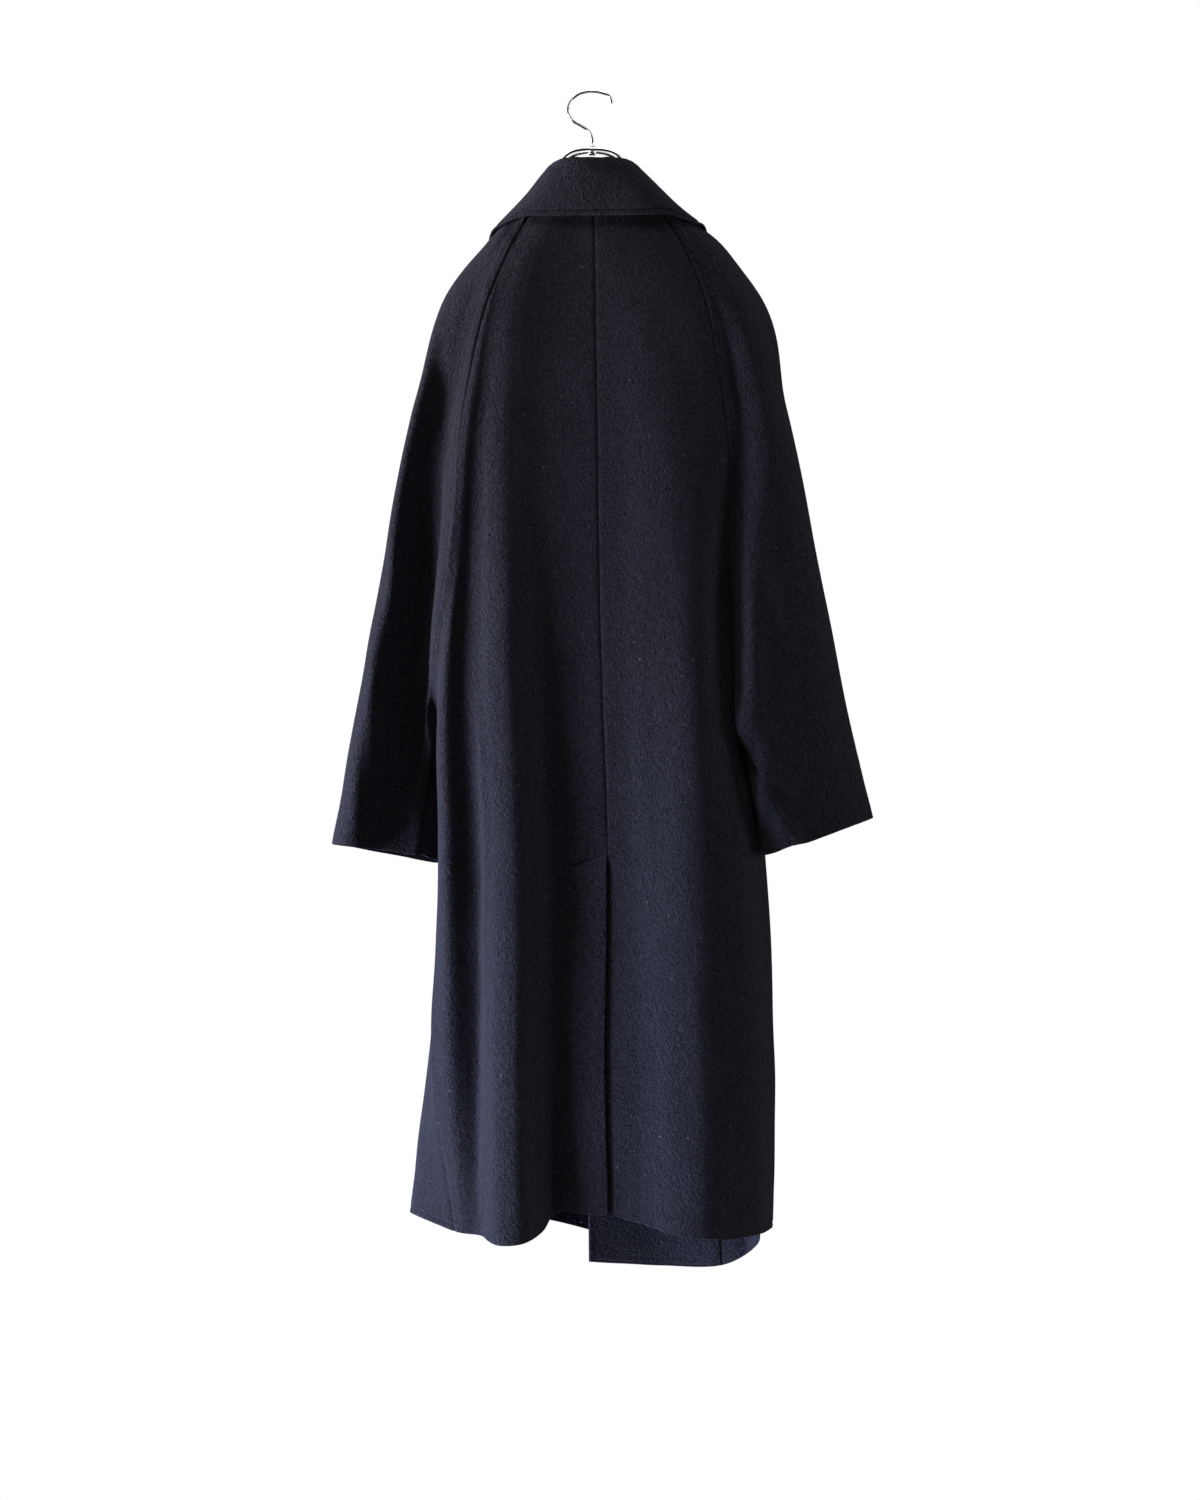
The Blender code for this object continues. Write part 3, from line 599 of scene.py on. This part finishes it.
def crease_shape(crease, x, z):
    """Height of a crease at places of a panel, as a share of its own, fading towards its ends."""
    line = np.array(crease.line, float)
    knots = chord_knots(line)
    nearest = np.full(x.shape, np.inf)
    reach = np.zeros(x.shape)
    for start, stop, low, high in zip(line, line[1:], knots, knots[1:]):
        way = stop - start
        share = ((x - start[0]) * way[0] + (z - start[1]) * way[1]) / np.dot(way, way)
        share = np.clip(share, 0.0, 1.0)
        away = np.hypot(x - start[0] - share * way[0], z - start[1] - share * way[1])
        reach = np.where(away < nearest, low + share * (high - low), reach)
        nearest = np.minimum(nearest, away)
    fade = min(CREASE_FADE, CREASE_FADE_SHARE * knots[-1])
    from_end = np.minimum(reach, knots[-1] - reach)
    return hump(nearest, 0.0, crease.width) * rise(from_end, -CREASE_CUT_SHARE * fade, fade)


def relief(name, grid, rows):
    """How far the cloth of a panel stands out from its fold surface."""
    first, last, hem = edge_reach(grid)
    x, z = grid[..., 0], grid[..., 2]
    height = HEM_RISE * (1.0 - rise(hem, *HEM_FLARE))
    for wave in WAVES:
        height += wave.height * np.sin(2.0 * pi * (x / wave.x_length + z / wave.z_length) + wave.start)
    margin = rise(np.minimum(first, last), 0.0, CREASE_MARGIN)
    for crease in CREASES[name]:
        height += margin * crease.height * crease_shape(crease, x, z)
    above = 1.0 - rise(rows, *SEWN_ROWS)[:, None]
    if name.startswith("sleeve"):
        for reach in (first, last):
            band = rise(reach, *BAND_START) * (1.0 - rise(reach, *BAND_END))
            sunk = hump(reach, BAND_STITCH, STITCH_SINK_WIDTH)
            height += above * (BAND_RISE * band - STITCH_SINK * sunk)
            height -= rise(rows, *UNDER_SINK_ROWS)[:, None] * SIDE_SINK * hump(reach, 0.0, SIDE_SINK_WIDTH)
    else:
        seam = last if name.startswith("back") else first
        height -= above * SEAM_SINK * hump(seam, 0.0, SEAM_SINK_WIDTH)
        height -= rise(rows, *SIDE_SINK_ROWS)[:, None] * SIDE_SINK * hump(seam, 0.0, SIDE_SINK_WIDTH)
    if name.startswith("back"):
        sewn = 1.0 - rise(rows, *CENTRE_SINK_ROWS)[:, None]
        height -= sewn * CENTRE_SINK * hump(first, 0.0, CENTRE_SINK_WIDTH)
        pressed = 1.0 - rise(-z, *COLLAR_PRESS_DROPS)
        height -= COLLAR_PRESS * pressed * rise(last, 0.0, COLLAR_PRESS_MARGIN)
    if name.startswith("front"):
        height -= STITCH_SINK * hump(np.minimum(last, hem), STITCH_INSET, STITCH_SINK_WIDTH)
    return height


def vent_opened(name, grid, height, rows):
    """A back panel's grid and relief with its edge of the vent open: the left edge lies over the right."""
    reach = edge_reach(grid)[0]
    opening = rise(rows, *VENT_OPEN_ROWS)[:, None]
    over = 1.0 if name == "back_left" else -1.0
    lift = VENT_LIFT if name == "back_left" else -VENT_SINK
    moved = grid.copy()
    moved[..., 0] += over * VENT_OPEN * opening * (1.0 - rise(reach, 0.0, VENT_OPEN_REACH))
    height = height + lift * opening * (1.0 - rise(reach, *VENT_LIFT_REACH))
    if name == "back_left":
        height += VENT_STITCH.height * crease_shape(VENT_STITCH, grid[..., 0], grid[..., 2])
    return moved, height


def body_panels():
    """Grids of the four body panels and two sleeves, with the side that each is on."""
    top_rows = even_rows(NECK_ROW, UNDERARM_ROW, ROW_STEP)
    hem = HEM_ROW - np.array(HEM_STEPS)
    cuff = CUFF_ROW - np.array(HEM_STEPS)
    rows = np.concatenate([
        top_rows,
        even_rows(UNDERARM_ROW, VENT_ROWS[0], ROW_STEP)[1:],
        even_rows(*VENT_ROWS, VENT_ROW_STEP)[1:],
        even_rows(VENT_ROWS[1], hem[0], ROW_STEP)[1:-1],
        hem,
    ])
    sleeve_rows = np.concatenate([top_rows, even_rows(UNDERARM_ROW, cuff[0], ROW_STEP)[1:-1], cuff])
    panels = {}
    for half in HALVES:
        neck_back, neck_sleeve, neck_front = (on_side(neck, half) for neck in NECKS)
        side = ((*half.side_seam.knee, KNEE), (*half.side_seam.shin, SHIN), half.side_seam.hem)
        under = ((*half.under_seam.forearm, FOREARM), half.under_seam.cuff)
        back_edge = edge_line(half.raglan_back, neck_back, side, SIDE_KNOTS, rows)
        front_edge = edge_line(half.raglan_front, neck_front, side, SIDE_KNOTS, rows)
        back_lines = [body_line(fold, neck_back, rows) for fold in half.back]
        front_lines = [body_line(fold, neck_front, rows) for fold in half.front]
        first = edge_line(half.raglan_back, neck_back, under, UNDER_SEAM_KNOTS, sleeve_rows)
        last = edge_line(half.raglan_front, neck_front, under, UNDER_SEAM_KNOTS, sleeve_rows)
        middle = [sleeve_line(fold, neck_sleeve, sleeve_rows) for fold in half.sleeve]
        back = across(back_lines + [back_edge], BACK_COLUMNS)
        front = across([front_edge] + front_lines, FRONT_COLUMNS)
        sleeve = across([first] + middle + [last], SLEEVE_COLUMNS)
        for word, grid in (("back_", back), ("front_", front), ("sleeve_", sleeve)):
            panels[word + half.word] = (pushed(grid), half.side)
    return panels, rows, sleeve_rows


def collar_grid():
    """The collar strip, from the left front end round the back to the right, seam to edge."""
    left = [np.array(section, float) for section in COLLAR_SECTIONS]
    right = []
    axes = (NECK_AXIS, COLLAR_ROLL_AXIS, COLLAR_EDGE_AXIS)
    for count, section in enumerate(left[1:], 1):
        seam, roll, edge = (mirrored(point, axis) for point, axis in zip(section, axes))
        right.append([seam, roll, edge + COLLAR_RIGHT_SHIFTS.get(count, (0, 0, 0))])
    sections = np.array(left[::-1] + right)
    knots = np.arange(len(sections), dtype=float)
    stations = row_values(knots, [COLLAR_SPANS] * (len(knots) - 1))
    fine = smooth(knots, sections.reshape(len(sections), -1), stations)
    lines = []
    for seam, roll, edge in fine.reshape(-1, 3, 3):
        outward = (edge - seam) * (1.0, 1.0, 0.0)
        outward = outward / np.linalg.norm(outward)
        drop = np.array([0.0, 0.0, -1.0])
        stand_top = seam + (roll - seam) * COLLAR_STAND_SHARE
        fall_top = roll + outward * COLLAR_FALL_OUT + drop * COLLAR_ROLL
        fall_middle = (fall_top + edge) / 2.0 + outward * COLLAR_BULGE
        lines.append((seam, stand_top, roll + outward * COLLAR_APEX_OUT, fall_top, fall_middle, edge))
    return pushed(across(np.array(lines).transpose(1, 0, 2), COLLAR_COLUMNS))


def wall_points(grid, normals, first_round, last_round):
    """Outer and inner faces of a cloth wall, rounded at its ends and, by the given radii, at its sides."""
    first, last, hem = edge_reach(grid)
    top = hem[:1] - hem
    sides = np.minimum(first / first_round, last / last_round)
    inset = np.minimum(sides, np.minimum(hem, top) / FREE_ROUND)
    share = 1.0 - np.minimum(inset, 1.0)
    radius = WALL / 2.0
    fullness = np.maximum(np.sqrt(1.0 - share ** 2), THIN_RIM)[..., None]
    outer = grid - normals * radius * (1.0 - fullness)
    inner = grid - normals * (WALL - radius * (1.0 - fullness))
    return outer, inner


def add_wall(name, outer, inner, side):
    """A closed cloth wall between an outer and an inner grid, joined all round."""
    rows, columns = outer.shape[:2]
    count = rows * columns
    index = np.arange(count).reshape(rows, columns)
    corners = (index[:-1, :-1], index[:-1, 1:], index[1:, 1:], index[1:, :-1])
    face = np.stack(corners, axis=-1).reshape(-1, 4)
    rim = np.concatenate([index[0, :], index[1:, -1], index[-1, -2::-1], index[-2:0:-1, 0]])
    ahead = np.roll(rim, -1)
    edge = np.stack([rim, rim + count, ahead + count, ahead], axis=-1)
    faces = np.concatenate([face, face[:, ::-1] + count, edge])
    if side < 0:
        faces = faces[:, ::-1]
    points = np.concatenate([outer.reshape(-1, 3), inner.reshape(-1, 3)])
    wall = add_mesh(name, points, faces)
    # Inner faces take the second material, the darker wool of painted shade, where a piece has one
    inside = np.zeros(len(faces), dtype=np.int32)
    inside[len(face):2 * len(face)] = 1
    wall.data.polygons.foreach_set("material_index", inside)
    return wall


def add_mesh(name, points, faces):
    """A smooth mesh object from points in millimetres."""
    mesh = bpy.data.meshes.new(name)
    mesh.from_pydata((np.asarray(points) * MM).tolist(), [], [list(map(int, face)) for face in faces])
    mesh.shade_smooth()
    thing = bpy.data.objects.new(name, mesh)
    SCENE.collection.objects.link(thing)
    return thing


def tube_frames(path, cyclic):
    """Two directions across a path at each of its points, without twist."""
    if cyclic:
        ways = np.roll(path, -1, axis=0) - np.roll(path, 1, axis=0)
    else:
        ways = np.gradient(path, axis=0)
    ways = unit(ways)
    across_way = np.cross(ways[0], OFF_WAY)
    sides = []
    for way in ways:
        across_way = across_way - way * np.dot(across_way, way)
        across_way = across_way / np.linalg.norm(across_way)
        sides.append(across_way)
    sides = np.array(sides)
    return sides, np.cross(ways, sides)


def rings(first, second, sides):
    """Circles of radius one, each in the plane of two directions."""
    turn = np.arange(sides) * 2.0 * pi / sides
    return first[:, None] * np.cos(turn)[:, None] + second[:, None] * np.sin(turn)[:, None]


def ring_faces(low, high):
    """Faces between rings of points, which run along the last axis."""
    corners = (low, np.roll(low, -1, axis=-1), np.roll(high, -1, axis=-1), high)
    return np.stack(corners, axis=-1).reshape(-1, 4)


def tube_mesh(path, radii, sides, cyclic):
    """Points and faces of a round tube along a path."""
    path = np.asarray(path, float)
    ring = rings(*tube_frames(path, cyclic), sides)
    radii = np.broadcast_to(radii, len(path))[:, None, None]
    points = (path[:, None] + ring * radii).reshape(-1, 3)
    index = np.arange(len(points)).reshape(len(path), sides)
    low = index if cyclic else index[:-1]
    high = np.roll(index, -1, axis=0) if cyclic else index[1:]
    caps = [] if cyclic else [index[0, ::-1], index[-1]]
    return points, [*ring_faces(low, high), *caps]


def arm_path(half, facing_way):
    """One wire of an arm, under the shoulder of a sleeve; facing_way is 1 at the back, -1 in front."""
    rows = np.array(ARM_ROWS)
    neck = on_side(NECK_SLEEVE, half)
    crown_fold = [fold.neck for fold in half.sleeve].index(CROWN_NECK)
    folds = half.sleeve[crown_fold - 1:crown_fold + 2]
    back, crown, front = (sleeve_line(fold, neck, rows) for fold in folds)
    beside = back if facing_way > 0 else front
    point = crown + (beside - crown) * ARM_SHARE
    down = smooth(rows, crown, rows + ARM_SLOPE_STEP) - smooth(rows, crown, rows - ARM_SLOPE_STEP)
    normal = unit(np.cross(down, back - front) * half.side)
    return point - normal * (WALL + WIRE_CLEARANCE + WIRE_RADIUS)


def add_hanger(finish):
    """The hook, its ferrule, and the two arms of double wire in one loop."""
    hook = along([(x, 0.0, z) for x, z in HOOK_PATH], np.linspace(0.0, 1.0, HOOK_POINTS))
    ends = np.minimum(np.arange(HOOK_POINTS), np.arange(HOOK_POINTS)[::-1])
    radii = WIRE_RADIUS * np.sqrt(np.clip((ends + HOOK_TIP_START) / HOOK_TIP_POINTS, 0.0, 1.0))
    hook_wire = add_mesh("hook_wire", *tube_mesh(hook, radii, WIRE_SIDES, False))
    place(hook_wire, "hanger_hook", finish)

    profile = np.array(FERRULE_PROFILE)
    spine = profile[:, 1:] * (0.0, 0.0, 1.0)
    barrel = add_mesh("ferrule_barrel", *tube_mesh(spine, profile[:, 0], FERRULE_SIDES, False))
    place(barrel, "hanger_ferrule", finish)

    arch = np.array(ARCH_PATH, float)
    wires = []
    for facing_way in (1, -1):
        bend = arch * (1.0, facing_way, 1.0)
        left = np.concatenate([bend[1:], arm_path(HALVES[0], facing_way)])
        right = np.concatenate([mirrored(bend[1:], 0.0), arm_path(HALVES[1], facing_way)])
        wire = np.concatenate([left[::-1], bend[:1], right])
        wires.append(along(wire, np.linspace(0.0, 1.0, ARM_POINTS))[::facing_way])
    loop = np.concatenate(wires)
    arms = add_mesh("arm_wires", *tube_mesh(loop, WIRE_RADIUS, WIRE_SIDES, True))
    place(arms, "hanger_arms", finish)


def line_at(points, reach, distance):
    """The line of points on a grid at a distance along its rows."""
    order = np.argsort(reach, axis=1)
    rows = []
    for places, row, turn in zip(reach, points, order):
        rows.append([np.interp(distance, places[turn], row[turn, axis]) for axis in range(3)])
    return np.array(rows)


def line_across(points, line):
    """The points of a grid, one in each column, that lie nearest to a line of x, z."""
    (start_x, start_z), (stop_x, stop_z) = line
    found = []
    for column in points.transpose(1, 0, 2):
        share = (column[:, 0] - start_x) / (stop_x - start_x)
        away = np.abs(column[:, 2] - start_z - share * (stop_z - start_z))
        nearest = int(np.argmin(away))
        if 0.0 <= share[nearest] <= 1.0:
            found.append(column[nearest])
    return np.array(found)


def add_stitches(name, lines, finish):
    """Short threads along lines of points, joined in one mesh."""
    half = STITCH_LENGTH / 2.0
    steps = np.array(STITCH_RINGS) * half
    radii = np.array(STITCH_TAPER) * STITCH_RADIUS
    middles = []
    ways = []
    for line in lines:
        knots = chord_knots(line)
        at = np.arange(STITCH_PITCH, knots[-1] - STITCH_PITCH, STITCH_PITCH)
        behind, middle, ahead = (
            np.column_stack([np.interp(at + shift, knots, line[:, axis]) for axis in range(3)])
            for shift in (-half, 0.0, half))
        middles.append(middle)
        ways.append(unit(ahead - behind))
    middles = np.concatenate(middles)
    ways = np.concatenate(ways)
    first = unit(np.cross(ways, OFF_WAY))
    ring = rings(first, np.cross(ways, first), STITCH_SIDES)
    spine = middles[:, None] + ways[:, None] * steps[:, None]
    points = spine[:, :, None] + ring[:, None] * radii[:, None, None]
    shape = (len(middles), len(steps), STITCH_SIDES)
    index = np.arange(np.prod(shape)).reshape(shape)
    caps = [*index[:, 0, ::-1], *index[:, -1]]
    thread = add_mesh(name, points.reshape(-1, 3), [*ring_faces(index[:, :-1], index[:, 1:]), *caps])
    place(thread, None, finish)
    return thread


def place(piece, node, finish):
    """A piece that rides on the body, with its materials; it stands for a node, if one is given."""
    for material in finish:
        piece.data.materials.append(material)
    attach(piece, "root")
    if node:
        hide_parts(node)


def add_sheet(name, outer, inner, side, finish, thread, lines):
    """A cloth piece with stitches along lines."""
    piece = add_wall(name + "_cloth", outer, inner, side)
    place(piece, name, finish)
    extras = [add_stitches(name + "_stitches", lines, thread)] if lines else []


def fill(node, values):
    """Sets constants on a node's own sockets."""
    for socket, value in values.items():
        node.inputs[socket].default_value = value


def new_material(name, values):
    """A node material with constants on its shader's own sockets."""
    material = bpy.data.materials.new(name)
    material.use_nodes = True
    fill(material.node_tree.nodes["Principled BSDF"], values)
    return material


def noise(tree, coords, scale, detail, roughness):
    """A noise texture read at the object's own coordinates."""
    node = tree.nodes.new("ShaderNodeTexNoise")
    fill(node, {"Scale": scale, "Detail": detail, "Roughness": roughness})
    tree.links.new(coords.outputs["Object"], node.inputs["Vector"])
    return node


def add_lint(tree, coords, colour):
    """Specks of lint over a colour."""
    link = tree.links.new
    lint = tree.nodes.new("ShaderNodeTexVoronoi")
    fill(lint, {"Scale": LINT_SCALE})
    link(coords.outputs["Object"], lint.inputs["Vector"])
    near = tree.nodes.new("ShaderNodeMath")
    near.operation = "LESS_THAN"
    fill(near, {1: LINT_REACH})
    link(lint.outputs["Distance"], near.inputs[0])
    speckled = tree.nodes.new("ShaderNodeMix")
    speckled.data_type = "RGBA"
    fill(speckled, {"B": LINT_COLOUR})
    link(near.outputs["Value"], speckled.inputs["Factor"])
    link(colour, speckled.inputs["A"])
    return speckled.outputs["Result"]


def wool_material(name, tints, sheen):
    """Near-black felted wool with a pebbled, brushed nap, a cool sheen and a little lint."""
    material = new_material(name, {
        "Roughness": 0.95,
        "Specular IOR Level": 0.0,
        "Sheen Weight": sheen,
        "Sheen Roughness": 0.5,
        "Sheen Tint": (0.82, 0.80, 1.0, 1.0),
    })
    tree = material.node_tree
    link = tree.links.new
    shader = tree.nodes["Principled BSDF"]
    coords = tree.nodes.new("ShaderNodeTexCoord")
    flecks = noise(tree, coords, FLECK_SCALE, 4.0, 0.7)
    pebbles = noise(tree, coords, PEBBLE_SCALE, 2.0, 0.5)
    fill(pebbles, {"Distortion": 1.2})
    nap = tree.nodes.new("ShaderNodeMix")
    fill(nap, {"Factor": PEBBLE_SHARE})
    link(flecks.outputs["Fac"], nap.inputs["A"])
    link(pebbles.outputs["Fac"], nap.inputs["B"])
    ramp = tree.nodes.new("ShaderNodeValToRGB")
    ramp.color_ramp.elements.new(TINT_PLACES[1])
    for stop, at, tint in zip(ramp.color_ramp.elements, TINT_PLACES, tints):
        stop.position = at
        stop.color = (*tint, 1.0)
    link(nap.outputs["Result"], ramp.inputs["Fac"])
    link(add_lint(tree, coords, ramp.outputs["Color"]), shader.inputs["Base Color"])
    bump = tree.nodes.new("ShaderNodeBump")
    fill(bump, {"Strength": 1.0, "Distance": NAP_DEPTH})
    link(pebbles.outputs["Fac"], bump.inputs["Height"])
    link(bump.outputs["Normal"], shader.inputs["Normal"])
    return material


def thread_material():
    """Black sewing thread."""
    return new_material("thread", {
        "Base Color": (0.004, 0.004, 0.005, 1.0),
        "Roughness": 0.6,
        "Specular IOR Level": 0.0,
    })


def chrome_material():
    """Polished wire with faint drawing marks."""
    material = new_material("chrome", {"Base Color": (0.80, 0.80, 0.82, 1.0), "Metallic": 1.0})
    tree = material.node_tree
    marks = noise(tree, tree.nodes.new("ShaderNodeTexCoord"), MARK_SCALE, 2.0, 0.5)
    roughness = tree.nodes.new("ShaderNodeMapRange")
    fill(roughness, dict(zip(("To Min", "To Max"), MARK_ROUGHNESS)))
    tree.links.new(marks.outputs["Fac"], roughness.inputs["Value"])
    tree.links.new(roughness.outputs["Result"], tree.nodes["Principled BSDF"].inputs["Roughness"])
    return material


def edge_stitching(points, last, hem):
    """Lines of stitching beside a front's free edge and beside its hem."""
    return [line_at(points, last, STITCH_INSET), line_at(points.transpose(1, 0, 2), hem.T, STITCH_INSET)]


def add_panel(name, panel, normals, rows, finish, thread):
    """A body panel or a sleeve with its stitches; its shaped grid is returned."""
    grid, side = panel
    height = relief(name, grid, rows)
    first_round, last_round = SEAM_ROUND, SEAM_ROUND
    if name.startswith("back"):
        grid, height = vent_opened(name, grid, height, rows)
        first_round = np.where(rows < VENT_TOP, SEAM_ROUND, FREE_ROUND)[:, None]
    if name.startswith("front"):
        last_round = FREE_ROUND
    shaped = grid + normals * height[..., None]
    outer, inner = wall_points(shaped, normals, first_round, last_round)
    first, last, hem = edge_reach(outer)
    lines = []
    if name.startswith("sleeve"):
        sewn = rows <= UNDERARM_ROW - SLEEVE_STITCH_STOP
        lines = [line_at(outer, reach, BAND_STITCH)[sewn] for reach in (first, last)]
    if name == "back_left":
        lines = [line_across(outer, VENT_STITCH.line)]
    if name.startswith("front"):
        lines = edge_stitching(outer, last, hem)
    add_sheet(name, outer, inner, side, finish, thread, lines)
    return shaped


def add_underlap(panels, normals, rows, finish):
    """The strip behind the vent, which reaches from the right half of the back to the left."""
    below = rows >= VENT_TOP
    inset = WALL + LAYER_GAP + VENT_DEPTH
    behind = {}
    reach = {}
    for name in ("back_left", "back_right"):
        grid = panels[name][0]
        behind[name] = (grid - normals[name] * inset)[below]
        reach[name] = edge_reach(grid)[0][below].mean(axis=0)
    behind_left = behind["back_left"][:, reach["back_left"] <= VENT_REACH_LEFT]
    lapped = (reach["back_right"] > 0.0) & (reach["back_right"] <= VENT_REACH_RIGHT)
    behind_right = behind["back_right"][:, lapped][:, ::-1]
    underlap = np.concatenate([behind_right, behind_left], axis=1)
    outer, inner = wall_points(underlap, grid_normals(underlap, 1), FREE_ROUND, FREE_ROUND)
    add_sheet("vent_underlap", outer, inner, 1, finish, (), [])


def add_facing(front, normals, rows, finish, thread):
    """The facing inside the right front, thinned along its inner edge."""
    first_column = int(np.argmax(front[-1, :, 0] > FACING_EDGE_X))
    behind_front = front - normals * (WALL + FACING_GAP)
    facing = behind_front[rows >= FACING_TOP, first_column:]
    facing[-1] += (0.0, 0.0, FACING_HEM_RISE)
    normal = grid_normals(facing, -1)
    first, last, hem = edge_reach(facing)
    outer, inner = wall_points(facing, normal, FREE_ROUND, FREE_ROUND)
    thinned = WALL * (1.0 - FACING_THIN) * (1.0 - rise(first, 0.0, FACING_TAPER))
    sunk = STITCH_SINK * hump(np.minimum(last, hem), STITCH_INSET, STITCH_SINK_WIDTH)
    inner = inner + normal * (thinned + sunk)[..., None]
    lines = edge_stitching(inner, last, hem)
    add_sheet("front_right_facing", outer, inner, -1, finish, thread, lines)


def add_collar(finish, thread):
    """The collar, with a stitched line beside its edge."""
    collar = collar_grid()
    normal = -grid_normals(collar, 1)
    sunk = COLLAR_SINK * hump(edge_reach(collar)[1], STITCH_INSET, COLLAR_SINK_WIDTH)
    outer, inner = wall_points(collar + normal * sunk[..., None], normal, FREE_ROUND, FREE_ROUND)
    line = line_at(inner, edge_reach(inner)[1], STITCH_INSET)
    add_sheet("collar", outer, inner, -1, finish, thread, [line])


def add_cloth(wool, inside_shade_wool, thread):
    """All cloth pieces, their inner faces a darker wool of painted shade; those whose inside shows have
    the wool of the right side on both sides.
    """
    panels, rows, sleeve_rows = body_panels()
    normals = shared_normals(panels)
    shaped = {}
    for name, panel in panels.items():
        panel_rows = sleeve_rows if name.startswith("sleeve") else rows
        finish = (wool,) if name == "front_right" else (wool, inside_shade_wool)
        shaped[name] = add_panel(name, panel, normals[name], panel_rows, finish, (thread,))
    add_underlap(panels, normals, rows, (wool, inside_shade_wool))
    add_facing(shaped["front_right"], normals["front_right"], rows, (wool,), (thread,))
    add_collar((wool,), (thread,))


def add_floor():
    """A round pale floor."""
    x_way, y_way, z_way = np.eye(3)
    disc = rings(x_way[None], y_way[None], FLOOR_SIDES)[0] * FLOOR_RADIUS + z_way * FLOOR_Z
    floor = add_mesh("floor", disc / MM, [range(FLOOR_SIDES)])
    paint = new_material("floor_paint", {"Base Color": (0.8, 0.8, 0.8, 1.0), "Roughness": 0.8})
    floor.data.materials.append(paint)


def add_light(light):
    """A soft rectangular light that faces its target."""
    lamp = bpy.data.lights.new(light.name, "AREA")
    lamp.shape = "RECTANGLE"
    lamp.size, lamp.size_y = light.size
    lamp.energy = light.power
    lamp.color = light.colour
    lamp.spread = radians(light.spread)
    thing = bpy.data.objects.new(light.name, lamp)
    thing.location = light.place
    way = Vector(light.target) - Vector(light.place)
    thing.rotation_euler = way.to_track_quat("-Z", "Y").to_euler()
    SCENE.collection.objects.link(thing)


def add_background():
    """A white background, bright in reflections from one side only, and a dim ambient light."""
    world = bpy.data.worlds.new("white_room")
    SCENE.world = world
    world.use_nodes = True
    tree = world.node_tree
    link = tree.links.new
    seen = tree.nodes["Background"]
    fill(seen, {"Color": WHITE})
    ambient = tree.nodes.new("ShaderNodeBackground")
    fill(ambient, {"Color": AMBIENT_COLOUR, "Strength": AMBIENT})
    rays = tree.nodes.new("ShaderNodeLightPath")
    coords = tree.nodes.new("ShaderNodeTexCoord")
    side = tree.nodes.new("ShaderNodeVectorMath")
    side.operation = "DOT_PRODUCT"
    fill(side, {1: GLEAM_WAY})
    link(coords.outputs["Generated"], side.inputs[0])
    gleam = tree.nodes.new("ShaderNodeMapRange")
    fill(gleam, dict(zip(("From Min", "From Max"), GLEAM_RANGE)))
    link(side.outputs["Value"], gleam.inputs["Value"])
    bright = tree.nodes.new("ShaderNodeMath")
    bright.operation = "MULTIPLY_ADD"
    link(rays.outputs["Is Glossy Ray"], bright.inputs[0])
    link(gleam.outputs["Result"], bright.inputs[1])
    link(rays.outputs["Is Camera Ray"], bright.inputs[2])
    mix = tree.nodes.new("ShaderNodeMixShader")
    link(bright.outputs["Value"], mix.inputs["Fac"])
    link(ambient.outputs["Background"], mix.inputs[1])
    link(seen.outputs["Background"], mix.inputs[2])
    link(mix.outputs["Shader"], tree.nodes["World Output"].inputs["Surface"])


def add_camera():
    """The camera behind the coat, at the photo's angle."""
    lens = bpy.data.cameras.new("camera")
    lens.lens = LENS
    lens.sensor_fit = "VERTICAL"
    lens.sensor_height = SENSOR
    camera = bpy.data.objects.new("camera", lens)
    camera.location = CAMERA_PLACE
    camera.rotation_euler = [radians(angle) for angle in CAMERA_TURN]
    SCENE.collection.objects.link(camera)
    SCENE.camera = camera
    SCENE.view_settings.view_transform = "Standard"


def main():
    """The coat on its hanger, in a plain studio."""
    wool = wool_material("wool", WOOL_TINTS, WOOL_SHEEN)
    # Wool of the inner faces: no sheen and far darker tints, painted shade for the coat's insides
    inside_shade_wool = wool_material("wool_inside_painted_shade", INSIDE_PAINTED_SHADE_TINTS, 0.0)
    add_cloth(wool, inside_shade_wool, thread_material())
    add_hanger((chrome_material(),))
    add_floor()
    for light in LIGHTS:
        add_light(light)
    add_background()
    add_camera()


main()
